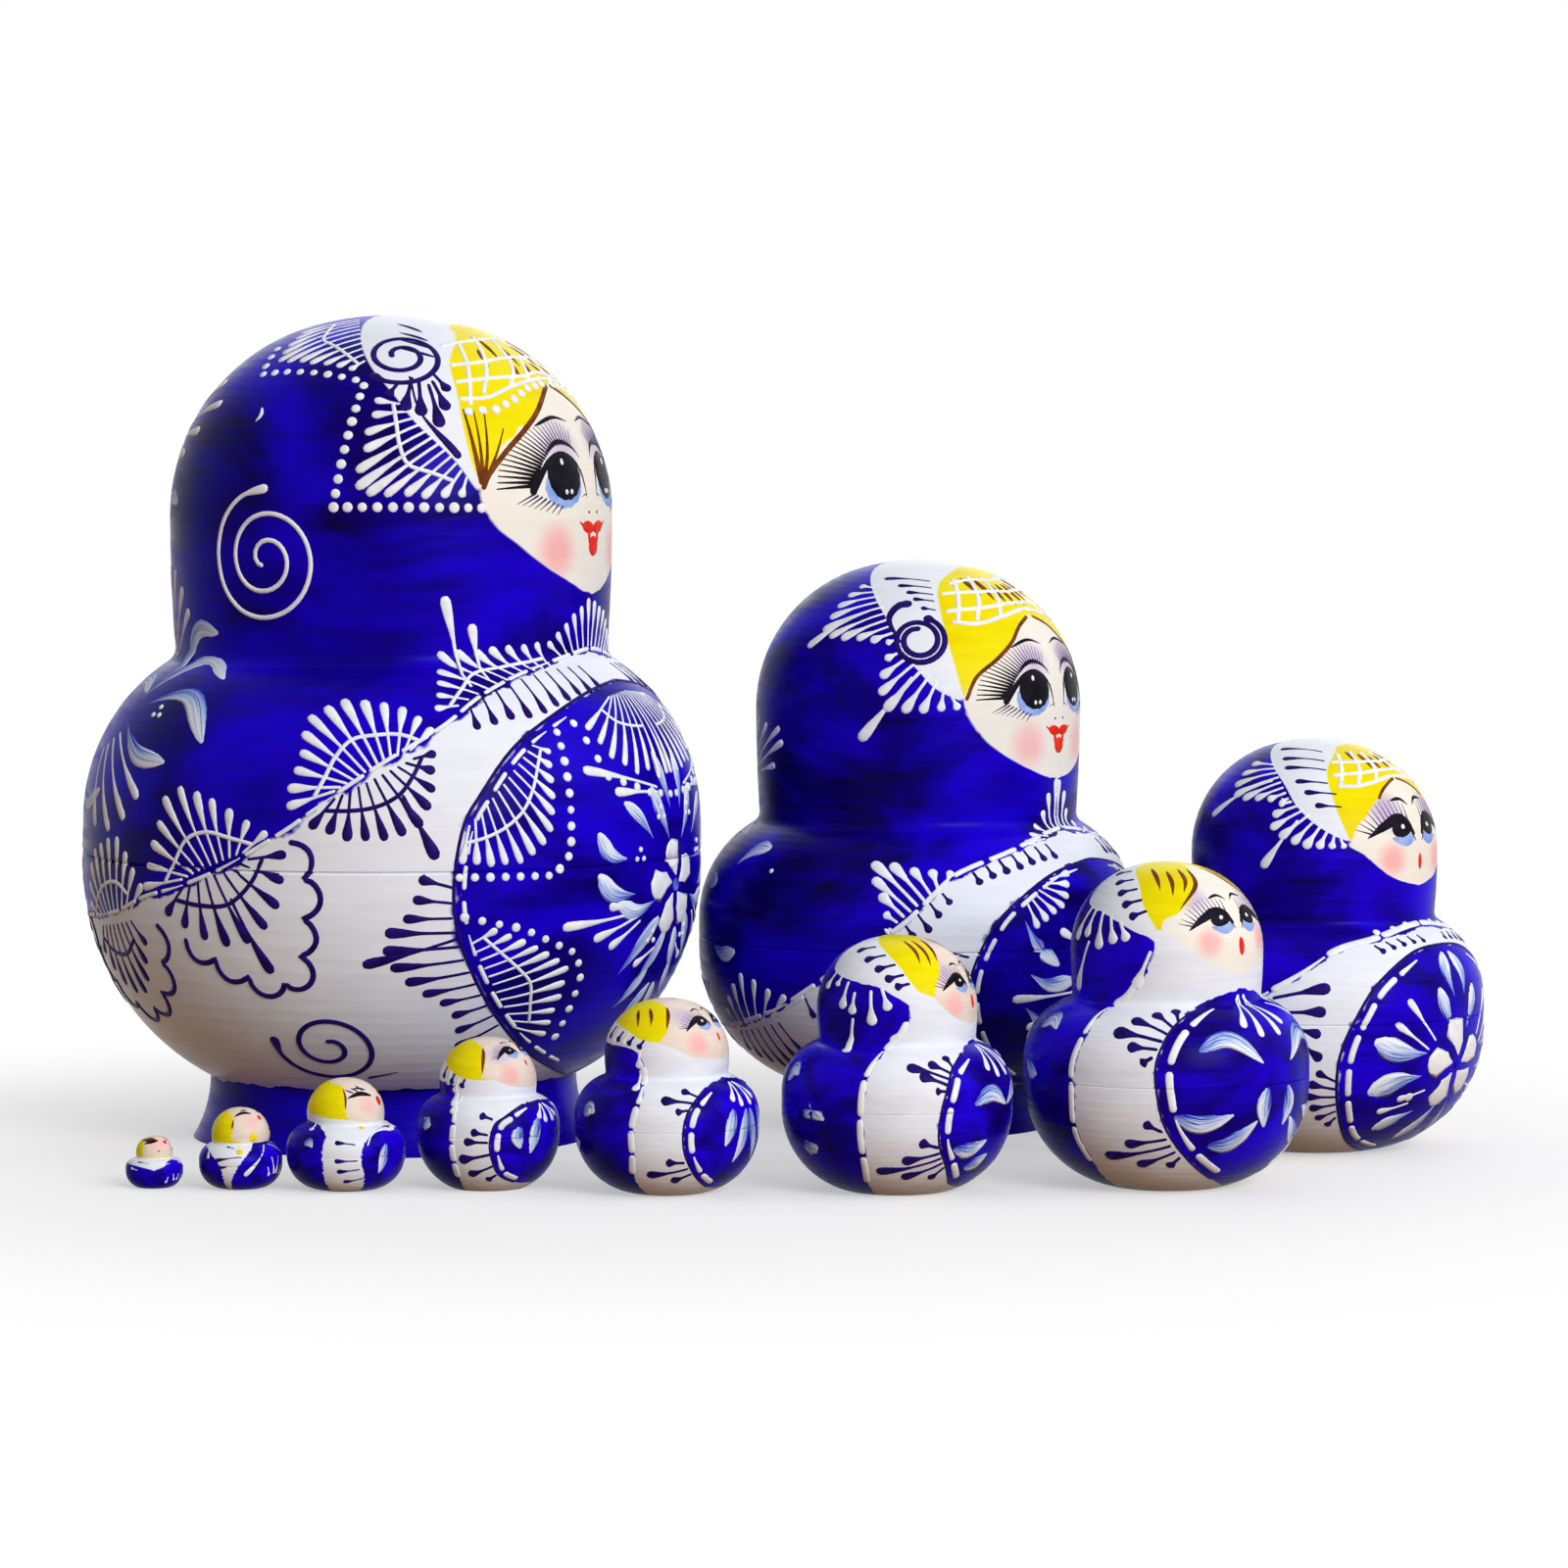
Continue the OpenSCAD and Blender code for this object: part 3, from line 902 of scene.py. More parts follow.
class Ground:
    """The painted ground of one doll: fields of colour, soft dabs, and bare wood within."""

    TURN = 200.0
    WALL_SHARE = 0.35
    EDGE, SHARP = 0.0035, 0.0015
    WOBBLE, WOBBLES, WOBBLE_UP, WOBBLE_ASIDE = 0.012, 30.0, 0.25, 0.5
    CLOUDS, CLOUD_DETAIL, CLOUD_TWIST, CLOUD_SQUASH = 3.2, 4.0, 1.2, 1.7
    CLOUD_RANGE = 0.34, 0.66
    STREAKS, FINE_STREAKS, STREAK_SQUASH, STREAK_DEPTH = 6.0, 40.0, 6.0, 0.12 * MM
    SATIN, WOOD_ROUGHNESS = (0.22, 0.36), 0.62
    DAB_CORE = 0.2
    OUTLINE_POINTS = 44
    wood = BareWood()

    def __init__(self, name: str, surface: TurnedSurface, wall: float, rule: float, patch: float) -> None:
        """Start the ground.

        Args:
            name: Name of its material.
            surface: The doll's outer surface.
            wall: Thickness of the doll's wall in metres.
            rule: Full height of the drawing that the marks are read from.
            patch: Number that sets where the paint's broad patches fall.
        """
        self.surface, self.wall, self.rule = surface, wall, rule
        r = self.recipe = Recipe(name)
        place = r.vector("SUBTRACT", r.node("TexCoord", {}).outputs["Object"], tuple(surface.place))
        aside = r.measure("DOT_PRODUCT", place, tuple(surface.right))
        self.front = r.measure("DOT_PRODUCT", place, tuple(surface.front))
        up = r.measure("DOT_PRODUCT", place, (0.0, 0.0, 1.0))
        self.aside = r.math("ABSOLUTE", aside)
        self.place = r.node("CombineXYZ", {0: aside, 1: self.front, 2: up}).outputs[0]
        self.folded = r.node("CombineXYZ", {0: self.aside, 1: self.front, 2: up}).outputs[0]
        ragged = r.spread(r.noise(self.place, self.WOBBLES / surface.height, 3.0), -self.WOBBLE, self.WOBBLE)
        self.share = r.math("DIVIDE", up, surface.height)
        self.rough_share = r.math("ADD", self.share, r.math("MULTIPLY", ragged, self.WOBBLE_UP))
        side = r.math("DIVIDE", r.math("ARCTAN2", self.aside, self.front), math.radians(self.TURN))
        self.side = r.math("ADD", side, r.math("MULTIPLY", ragged, self.WOBBLE_ASIDE))
        streaked = r.vector("MULTIPLY", self.place, (1.0, 1.0, self.STREAK_SQUASH))
        broad = r.vector("MULTIPLY", self.place, (1.0, 1.0, self.CLOUD_SQUASH))
        inputs = {
            "Scale": self.CLOUDS / surface.height,
            "Detail": self.CLOUD_DETAIL,
            "Distortion": self.CLOUD_TWIST,
            "W": patch,
            "Vector": broad,
        }
        self.cloud = r.node("TexNoise", inputs, noise_dimensions="4D").outputs[0]
        self.streak = r.noise(streaked, self.STREAKS / surface.height + self.FINE_STREAKS, 4.0)

    def coat(self, paint: Paint) -> Socket:
        """Colour of a coat with its patches and brush streaks."""
        r = self.recipe
        cloud = r.math("MULTIPLY", r.step(self.cloud, *self.CLOUD_RANGE), paint.cloud)
        streak = r.math("MULTIPLY", r.spread(self.streak, 0.0, 1.0), 1 - paint.cloud)
        return r.blend(r.math("ADD", cloud, streak), linear(paint.deep), linear(paint.bright))

    def mask(self, area: Field) -> Socket:
        """Share of a field's paint over the ground.

        Args:
            area: The field.

        Returns:
            1 inside the field and 0 outside.
        """
        r = self.recipe
        shares = [(abs(side) if abs(side) < 180 else self.TURN, z / self.rule) for side, z in area.marks]
        if area.border is Border.FRONT:
            height, reach = self.surface.height, self.surface.radius
            points = [(z, 0.5 + reach(z) * math.cos(math.radians(side)) / height) for side, z in shares]
            forward = r.math("ADD", r.math("DIVIDE", self.front, height), 0.5)
            gap = r.math("SUBTRACT", forward, r.curve(self.share, points))
        else:
            limit = r.curve(self.rough_share, [(z, side / self.TURN) for side, z in shares])
            pair = (limit, self.side) if area.border is Border.WITHIN else (self.side, limit)
            gap = r.math("SUBTRACT", *pair)
        edge = self.SHARP if area.border is Border.FRONT else self.EDGE
        inside = r.step(gap, -edge, edge)
        low = area.above / self.rule
        if low > 0:
            inside = r.math("MULTIPLY", inside, r.step(self.rough_share, low - self.EDGE, low + self.EDGE))
        return inside

    def dab(self, blush: Blush) -> Socket:
        """Share of a soft dab's paint over the ground."""
        r = self.recipe
        side, z = math.radians(blush.mark[0]), blush.mark[1] / self.rule
        radius = self.surface.radius(z)
        middle = (abs(radius * math.sin(side)), radius * math.cos(side), z * self.surface.height)
        away = r.measure("DISTANCE", self.folded, middle)
        reach = blush.reach * MM
        return r.math("MULTIPLY", r.step(away, reach, self.DAB_CORE * reach), blush.strength)

    def build(self, fields: Iterable[Field], blushes: Iterable[Blush]) -> Material:
        """Lay the fields over each other.

        Args:
            fields: Fields from the lowest to the uppermost, which is the face.
            blushes: Soft dabs on the face.

        Returns:
            The doll's material.
        """
        r = self.recipe
        colour = self.coat(Coat.WHITE.value)
        inside: object = 1.0
        for area in fields:
            inside = self.mask(area)
            colour = r.blend(inside, colour, self.coat(area.coat.value))
        for blush in blushes:
            colour = r.blend(r.math("MULTIPLY", self.dab(blush), inside), colour, self.coat(blush.coat.value))
        line = [(z / self.surface.height, rad / self.surface.height) for rad, z in self.outline()]
        reach = r.measure("LENGTH", r.vector("MULTIPLY", self.place, (1.0, 1.0, 0.0)), (0.0, 0.0, 0.0))
        skin = r.math("MULTIPLY", r.curve(self.share, line), self.surface.height)
        bare = r.math("GREATER_THAN", r.math("SUBTRACT", skin, reach), self.WALL_SHARE * self.wall)
        colour = r.blend(bare, colour, self.wood.colour(r, self.place))
        satin = r.spread(self.streak, *self.SATIN)
        roughness = r.math("MAXIMUM", satin, r.math("MULTIPLY", bare, self.WOOD_ROUGHNESS))
        return r.finish(colour, roughness, self.streak, self.STREAK_DEPTH)

    def outline(self) -> list[Mark]:
        """A few radii and heights that follow the doll's profile."""
        surface = self.surface
        run = np.concatenate([[0.0], np.cumsum(np.hypot(np.diff(surface.radii), np.diff(surface.levels)))])
        spread = np.interp(np.linspace(0, run[-1], self.OUTLINE_POINTS), run, surface.levels)
        levels = np.unique(np.round(spread, 6))
        return [(float(np.interp(z, surface.levels, surface.radii)), float(z)) for z in levels]


def mirrored(marks: Marks, rise: float = 0.0) -> Marks:
    """Marks on the other side of the middle line, moved up."""
    return tuple((-side, z + rise) for side, z in marks)


def turned(marks: Marks, angle: float) -> Marks:
    """Marks moved round the doll by an angle in degrees."""
    return tuple((side + angle, z) for side, z in marks)


def inset(marks: Marks, middle: float, narrow: float, low: float) -> Marks:
    """Marks drawn in towards a height on the middle line, by factors on side angles and heights."""
    return tuple((narrow * side, middle + low * (z - middle)) for side, z in marks)


@dataclass
class Doll:
    """One doll of the set: its solids, ground paint and brushwork.

    Attributes:
        number: Its place in the set, the largest being 1.
        facing: Turn of the face from the viewer towards the right, in degrees.
        wall: Thickness of the turned wall in millimetres.
        lift: Height of a full stroke in millimetres.
        rule: Full height of the drawing that the marks are read from.
        patch: Number that sets where the paint's broad patches fall.
        blue: Paint of shawl, apron and foot.
        skin: Paint of the face.
        hair_border: How the hair's edge is read.
        shawl, apron, foot, band, hair, face: Edges of these painted fields. The band is white, behind the hair.
    """

    number: int
    facing: float
    wall: float
    lift: float
    rule: float = 1000.0
    patch: float = 0.0
    blue: Coat = Coat.BLUE
    skin: Coat = Coat.PEACH
    hair_border: Border = Border.FRONT
    shawl: Marks = ()
    apron: Marks = ()
    foot: Marks = ()
    band: Marks = ()
    hair: Marks = ()
    face: Marks = ()

    @property
    def halves(self) -> dict[str, str]:
        """Node names by half."""
        solid = f"doll_{self.number}_solid"
        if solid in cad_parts:
            return {"solid": solid}
        return {half: f"doll_{self.number}_{half}_half" for half in ("lower", "upper")}

    def body(self, half: str) -> str:
        """Name of the body that a half rides on."""
        return f"doll_{self.number}" if half == "solid" else f"doll_{self.number}_{half}"

    def fields(self) -> list[Field]:
        """Painted fields from the lowest to the uppermost, which is the face."""
        areas = [
            Field(self.blue, Border.BEYOND, self.shawl),
            Field(self.blue, Border.WITHIN, self.apron),
            Field(self.blue, Border.WITHIN, self.foot),
            Field(Coat.WHITE, Border.FRONT, self.band),
            Field(Coat.YELLOW, self.hair_border, self.hair),
            Field(self.skin, Border.WITHIN, self.face),
        ]
        return [area for area in areas if area.marks]

    def blushes(self) -> list[Blush]:
        """Soft dabs of the face."""
        return []

    def draw_side(self, b: Brushwork) -> None:
        """Lay the strokes of one side."""

    def draw_middle(self, b: Brushwork) -> None:
        """Lay the strokes on the middle line, front and back."""

    def build(self, inks: dict[Ink, Material]) -> None:
        """Paint the doll.

        Args:
            inks: Materials of the raised strokes.
        """
        nodes = {half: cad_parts[name] for half, name in self.halves.items()}
        surface = TurnedSurface(list(nodes.values()), self.facing)
        ground = Ground(f"doll_{self.number}_paint", surface, self.wall * MM, self.rule, self.patch)
        paint = ground.build(self.fields(), self.blushes())
        for node in nodes.values():
            node.data.materials.clear()
            node.data.materials.append(paint)
        brush = Brushwork(surface, self.rule, self.lift)
        for brush.hand in (1, -1):
            self.draw_side(brush)
        brush.hand = 1
        self.draw_middle(brush)
        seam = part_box(nodes["upper"].name)[0][2] if "upper" in nodes else 0.0
        for relief, skin in brush.skins.items():
            if not skin.faces:
                continue
            whole = skin.mesh(inks)
            for half in nodes:
                mesh = whole if half == "solid" else Skin.cut(whole, seam, half == "upper")
                if mesh.polygons:
                    self.place_piece(mesh, half, relief)

    def place_piece(self, mesh: bpy.types.Mesh, half: str, relief: Relief) -> None:
        """Put a piece of brushwork on the half that carries it.

        Args:
            mesh: Its mesh.
            half: The half that it moves with.
            relief: Its group of paints.
        """
        piece = bpy.data.objects.new(f"doll_{self.number}_{half}_{relief.value}", mesh)
        bpy.context.collection.objects.link(piece)
        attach(piece, self.body(half))
        log.info("%s: %d faces on %s", piece.name, len(mesh.polygons), self.body(half))


@dataclass
class ShawlDoll(Doll):
    """A doll in a blue shawl with a white hair band, an apron and a painted face.

    Attributes:
        scale: Size of the face's features against those of the largest doll.
        mouth: Height of the mouth on the drawing.
        cheek: Mark, reach in millimetres and strength of the cheek's blush.
        shade: The same of the shade over the eye.
    """

    blue: Coat = Coat.DEEP_BLUE
    skin: Coat = Coat.CREAM
    scale: float = 1.0
    mouth: float = 700
    cheek: Dab = ((0, 0), 0, 0)
    shade: Dab = ((0, 0), 0, 0)

    def blushes(self) -> list[Blush]:
        """Cheeks and the shade over the eyes."""
        return [Blush(Coat.PINK, *self.cheek), Blush(Coat.VIOLET, *self.shade)]

    def draw_side(self, b: Brushwork) -> None:
        """Lay face, head, shawl, apron and back of one side."""
        for draw in (self.draw_face, self.draw_head, self.draw_shawl, self.draw_apron, self.draw_back):
            draw(b)

    def draw_head(self, b: Brushwork) -> None:
        """Lay the strokes of hair and hair band."""

    def draw_shawl(self, b: Brushwork) -> None:
        """Lay the strokes of the shawl."""

    def draw_apron(self, b: Brushwork) -> None:
        """Lay the strokes of the apron."""

    def draw_back(self, b: Brushwork) -> None:
        """Lay the strokes of the back."""

    def draw_face(self, b: Brushwork) -> None:
        """Lay one side of the face: eye, lashes, brow and nostril."""
        k, middle = self.scale, (0.0, self.mouth)

        def spot(*steps: Mark) -> Array:
            """Places of the features, measured from the mouth."""
            return b.near(middle, *[(x * k, y * k) for x, y in steps])

        eye = (-9.0 * k, 10.4 * k)
        b.oval(Ink.WHITE, middle, (eye[0] + 0.2 * k, eye[1] - 0.8 * k), (6.9 * k, 4.6 * k), 6, 0.14)
        b.oval(Ink.ICE, middle, (eye[0] - 0.6 * k, eye[1] - 1.9 * k), (6.4 * k, 4.8 * k), 4, 0.3)
        b.oval(Ink.BLACK, middle, eye, (5.7 * k, 5.2 * k), 0, 0.8)
        b.oval(Ink.WHITE, middle, (eye[0] - 0.3 * k, eye[1] + 2.8 * k), (0.6 * k, 0.8 * k), 0, 1.1)
        for x in (-0.2, 1.4):
            b.oval(Ink.WHITE, middle, (eye[0] + x * k, eye[1] - 3.1 * k), (0.55 * k, 0.6 * k), 0, 1.1)
        upper = spot((-19.6, 7.2), (-16.2, 11.0), (-12.4, 14.0), (-8.2, 15.0), (-4.6, 13.2), (-2.8, 10.0))
        b.line(Ink.BLACK, upper, 2.2 * k, Taper.TAIL, 0.5)
        b.line(Ink.BLACK, spot((-3.4, 11.6), (-2.6, 8.6), (-2.2, 6.0)), 0.9 * k, Taper.TAIL, 0.35)
        b.line(Ink.BLACK, spot((-2.2, 6.8), (-4.2, 6.2)), 0.4 * k, Taper.TAIL, 0.3)
        lid = spot((-14.2, 15.0), (-10.4, 17.2), (-7.4, 17.5), (-4.2, 16.0), (-2.4, 13.6))
        b.line(Ink.BLACK, lid, 1.2 * k, Taper.LEAF, 0.4)
        b.line(Ink.BLACK, spot((-14.6, 22.4), (-7.2, 24.0), (-1.8, 22.2)), 1.0 * k, Taper.LEAF, 0.35)
        roots = b.stepped(spot((-18.2, 9.0), (-14.8, 13.6), (-10.4, 16.8), (-4.6, 16.4)), np.linspace(0, 1, 24))
        route = spot(
            (-30.0, 9.4), (-28.6, 14.2), (-25.2, 18.4), (-20.2, 21.0), (-13.8, 22.6), (-7.4, 22.8), (-3.2, 20.2),
        )
        for n, ends in enumerate(zip(roots, b.stepped(b.smooth(route, 60), np.linspace(0, 1, 24)))):
            b.line(Ink.BLACK if n < 10 else Ink.PLUM, np.array(ends), (1.15 - 0.036 * n) * k, Taper.TAIL, 0.35)
        for x in np.linspace(0, 1, 8):
            root, tip = (-18.6 + 8.0 * x, 7.4 - 2.6 * x), (-24.0 + 11.6 * x, 5.4 - 2.4 * x)
            b.line(Ink.PLUM, spot(root, tip), 0.6 * k, Taper.TAIL, 0.3)
        b.oval(Ink.BLACK, middle, (-1.7 * k, 3.4 * k), (0.36 * k, 0.3 * k), 0, 0.3)

    def lips(self, b: Brushwork) -> None:
        """Lay the bow of the upper lip and the drop of the lower one."""
        k, middle = self.scale, (0.0, self.mouth)
        for side in (-1, 1):
            b.oval(Ink.RED, middle, (2.0 * side * k, 0.7 * k), (2.5 * k, 1.25 * k), 8 * side, 0.4)
            steps = [(2.6 * side, 0.8), (4.0 * side, 1.0), (5.3 * side, 1.8)]
            b.line(Ink.RED, b.near(middle, *[(x * k, y * k) for x, y in steps]), 1.5 * k, Taper.TAIL, 0.4)
        for side in (-1, 1):
            b.line(Ink.RED, b.near(middle, (1.9 * side * k, 0.2 * k), (1.4 * side * k, -2.4 * k)), 1.4 * k, lift=0.42)
        b.oval(Ink.RED, middle, (0, -2.7 * k), (2.1 * k, 2.0 * k), 0, 0.42)


@dataclass
class FirstDoll(ShawlDoll):
    """The largest doll, with dotted fans, scrolls and flowers."""

    shawl: Marks = (
        (180, 39.5), (150, 40.5), (127.6, 42.5), (116, 46), (105, 48.8), (95, 52.7), (84, 58.8), (78, 63), (68, 69.6),
        (55, 76.5), (45, 81.8), (33, 85.2), (8, 88.6), (0, 89.2),
    )
    apron: Marks = (
        (0, 12.4), (17, 14.8), (37, 21.7), (48.5, 33), (53.3, 45.5), (52, 59), (48, 66), (40, 74), (26, 80), (14, 82.8),
        (0, 84.2),
    )
    face: Marks = (
        (0, 99.6), (5, 100.2), (10, 101.6), (20.5, 104.7), (30.5, 109), (39, 114), (40.6, 118.4), (36.5, 123.4),
        (29, 127.7), (19, 131.4), (8.3, 135.3), (0, 137.2),
    )
    hair: Marks = ((40.4, 118.4), (42.7, 123.5), (43.8, 129.8), (43.2, 135.7), (42, 140.8), (30, 145.5), (0, 148.3))
    band: Marks = ((42, 118.6), (47, 123.5), (52, 127), (58, 131), (63, 135.2), (72, 140.8), (85, 148.2))
    foot: Marks = ((180, 0), (180, 11.2), (0, 11.8))
    cheek: Dab = ((17, 107.6), 7.0, 0.85)
    shade: Dab = ((11, 126.8), 7.2, 0.75)

    def draw_head(self, b: Brushwork) -> None:
        """Lay the hair's strands and net, the band's scroll and the fans behind it."""
        edge = (-40.4, 118.6), (-38, 121.5), (-31.8, 125.5), (-25.2, 128.6), (-16.8, 132), (-6.5, 135.8), (-1, 137.2)
        b.line(Ink.BROWN, b.at(*edge), 1.25, lift=0.4)
        for middle, tip, width in (
            (-41.4, (-42.6, 133), 1.7), (-39.8, (-39.4, 132.8), 1.2), (-38.1, (-36, 132.6), 1.2),
            (-35.6, (-31, 129.6), 1.1),
        ):
            b.line(Ink.BROWN, b.at((-40.3, 119.4), (middle, 124.5), tip), width, Taper.TAIL, 0.4)
        strands = (
            ((-6, 144.6), (-8, 140.4)), ((-15, 145.4), (-17, 141.8)), ((-24, 143.6), (-26, 140.2)),
            ((-3, 141.6), (-5, 138.8)), ((-12, 141), (-14, 138.4)),
        )
        b.lines(Ink.BROWN, strands, 1.5, Taper.LEAF, 0.4)
        net = (
            ((-42, 140.6), (-26, 141.4), (0, 142.2)), ((-42.8, 137.6), (-28, 138.4), (-12, 138.8), (0, 139.6)),
            ((-42, 144), (-20, 145.2), (0, 145.6)), ((-31, 144.8), (-35, 140.6), (-40, 133.4)),
            ((-16, 146), (-26, 141), (-34, 135.6)), ((-4, 145.4), (-13, 140.6), (-22, 136.8)), ((0, 142.6), (-10, 138)),
            ((-43, 134.6), (-33, 135), (-22, 136.8), (-10, 138), (0, 138.4)),
        )
        b.lines(Ink.WHITE, net, 1.0, Taper.EVEN)
        b.dots(((-41, 132.4), (-31.6, 132.8), (-24, 134.4), (-14, 136.6), (-4, 137.4)), 9, 1.0)
        b.spiral(Ink.INDIGO, (-60, 142.4), 200, -1.95, (1.6, 7.8), 1.25)
        drops = (
            ((-57, 138.6), (-60.5, 132.4)), ((-55, 138), (-55.5, 131.6)), ((-52, 137.4), (-50.4, 129.6)),
            ((-50.5, 138), (-47.6, 132.6)), ((-49.6, 139.2), (-45.6, 136)), ((-62, 137.4), (-65.4, 135.2)),
        )
        b.drops(drops, 2.2, ink=Ink.INDIGO)
        b.line(Ink.INDIGO, b.at((-58, 138.8), (-55.4, 132), (-45.8, 124.2)), 1.7, Taper.DROP)
        b.comb(((-59.5, 133.5), (-44.5, 121)), ((-69.5, 134.5), (-74, 117.2), (-46.5, 117.2)), 12, 1.75, 0.42)
        b.dots(((-73, 137), (-79, 115.6), (-41, 115.4)), 20, 0.95)
        b.comb(((-98, 149), (-74, 141.5)), ((-124, 146.4), (-113, 141), (-79, 139.8)), 11, 1.6, 0.42)
        b.dots(((-123, 143.6), (-115.5, 139), (-76, 138)), 11, 0.85)
        for z in (146.6, 145, 143.6, 142):
            b.line(Ink.INDIGO, b.at((-46, z), (-60, z + 1.6)), 0.8, Taper.LEAF)
        b.spiral(Ink.WHITE, (-98, 106.4), 250, -2.45, (1.2, 12.8), 1.0)
        b.line(Ink.WHITE, b.at((-106, 133.2), (-105.2, 131.8), (-106.4, 130.6)), 0.9, Taper.LEAF)

    def draw_shawl(self, b: Brushwork) -> None:
        """Lay the fringe of fans along the shawl's edge."""
        b.dashes(mirrored(self.shawl, rise=0.6), 26, 0.9, 0.85)
        b.comb(((-50, 81), (-20, 87)), ((-55.5, 80.5), (-52.5, 90), (-24, 91.4)), 11, 1.6, 0.4)
        b.drop((-46, 84), (-51, 100), 1.8)
        b.drop((-41, 85), (-43.6, 95), 1.7)
        b.comb(((-14, 88.5), (-1, 90)), ((-20, 91.5), (-9, 97), (-2, 98.8)), 6, 1.5)
        b.comb(((-48, 81.5), (-10, 87)), ((-47, 76.6), (-30, 79.2), (-10, 83)), 10, 1.7, ink=Ink.INDIGO)
        b.comb(
            ((-74.5, 66.6), (-61, 73.4)), ((-84, 63.5), (-82.5, 71), (-79.6, 81), (-62, 81), (-56, 77.4)), 13, 1.75,
            0.42,
        )
        b.comb(
            ((-74.5, 65.4), (-60.5, 72)), ((-79, 60), (-72, 58), (-63, 58), (-57.5, 63), (-56, 73)), 11, 1.8, 0.42,
            ink=Ink.INDIGO,
        )
        b.drop((-62.5, 66), (-56.4, 54.6), 2.0, ink=Ink.INDIGO)
        b.comb(
            ((-105, 50.4), (-92, 55.4)), ((-116, 48.4), (-113, 57), (-108, 67), (-97, 64), (-87, 59.4)), 11, 1.7, 0.42,
        )
        b.comb(
            ((-105, 49), (-91, 54.4)), ((-110, 43.5), (-99, 39.5), (-90, 39.5), (-84.4, 47), (-83.5, 55.5)), 9, 1.9,
            0.42, ink=Ink.INDIGO,
        )
        b.drop((-94.5, 47.6), (-87.4, 34.2), 1.9, ink=Ink.INDIGO)
        b.scallop(
            Ink.INDIGO, ((-83, 57.6), (-80, 50), (-81, 41), (-82.6, 34), (-88, 32.4), (-96, 35), (-105.5, 40)), 7, 2.8,
            1.2,
        )
        for middle in (-128, -160):
            b.comb(
                turned(((-6, 41.6), (7, 43.4)), middle), turned(((-13, 44), (-8, 54), (3, 57), (12, 49)), middle), 10,
                1.7, 0.42,
            )
            b.comb(
                turned(((-6, 40.4), (7, 42.2)), middle), turned(((-11, 35), (-4, 28.6), (6, 29.6), (11, 38)), middle),
                8, 1.9, 0.42, ink=Ink.INDIGO,
            )
            b.scallop(Ink.INDIGO, turned(((15, 42), (13, 32), (2, 25.6), (-11, 29), (-14, 36)), middle), 6, 2.8, 1.2)
        b.spiral(Ink.INDIGO, (-79, 20.6), 98, -1.8, (1.4, 10.2), 1.15)
        b.line(Ink.INDIGO, b.at((-71, 14.6), (-63, 15.8)), 0.8, Taper.TAIL)

    def draw_apron(self, b: Brushwork) -> None:
        """Lay the apron's edge, dotted fans and half of its bouquet."""
        edge = mirrored(self.apron)
        b.line(Ink.INDIGO, b.at(*edge), 0.8, lift=0.5)
        b.dashes(inset(edge[1:-2], 48, 0.965, 0.965), 15, 0.95)
        b.comb(((-50.5, 60.6), (-36.6, 74)), ((-52, 53.5), (-43, 53), (-35, 58.5), (-32.6, 72.6)), 13, 1.45, 0.45)
        b.dots(((-52.4, 51.4), (-34, 51.2), (-30.6, 55), (-30, 76)), 17, 0.85)
        b.comb(((-9, 81.6), (-0.6, 82.4)), ((-22, 76.4), (-18, 70.4), (-9, 67.8), (-1, 67)), 8, 1.35, 0.45)
        b.dots(((-25, 77.4), (-20.6, 68), (-9, 64.6), (-1.4, 64)), 9, 0.8)
        b.comb(((-50, 39.6), (-38.4, 24)), ((-45, 42.2), (-31, 36), (-29, 33), (-28.6, 22)), 12, 1.4, 0.45)
        b.dots(((-51.4, 44.4), (-40, 42), (-28, 37), (-25.6, 33), (-25.6, 21.4)), 14, 0.82)
        roots = (-53.4, 49.6), (-53.6, 45), (-51.6, 38), (-48.4, 32.6), (-41.6, 24.6)
        tips = (-60, 51.4), (-62, 45), (-67, 39.4), (-61, 32), (-53, 27.4), (-50.4, 20.6)
        b.comb(roots, tips, 12, 1.9, ink=Ink.INDIGO)
        b.drop((-52.6, 40.6), (-70, 36), 1.8, ink=Ink.INDIGO)
        petals = (
            (((-15.4, 53), (-21, 54), (-24.4, 58.4)), 2.6), (((-14, 46.8), (-20.4, 47.2), (-24.4, 51)), 3.0),
            (((-7.6, 45.4), (-14, 43.6), (-19.6, 45.6)), 2.6), (((-2, 61), (-3.4, 66), (-4.6, 72)), 2.4),
            (((-2.6, 55.6), (-6, 61), (-8.6, 65.8)), 2.6), (((-15.4, 32), (-10, 38), (-5.6, 42.4)), 2.8),
            (((-12, 25.6), (-8, 29), (-5, 33)), 2.4), (((-9, 30), (-5, 34), (-2, 40)), 2.6),
            (((-8, 21), (-4, 25), (-1, 30)), 2.4), (((-8.6, 56.2), (-13, 60.4), (-17.4, 63.4)), 2.2),
        )
        b.petals(petals, 1.4)
        drops = (
            ((-14, 44.4), (-21.4, 45)), ((-13, 43.6), (-32, 41.8)), ((-13, 42.8), (-24.4, 39.2)),
            ((-12, 42), (-20, 37.4)), ((-6, 65.4), (-26.4, 69.4)), ((-6, 64.6), (-19.4, 65.2)),
            ((-5, 36.6), (-11, 33.6)),
        )
        b.drops(drops, 1.6)
        for mark in ((-13, 53.6), (-7.4, 38.6), (-6, 60.8)):
            b.trio(mark)

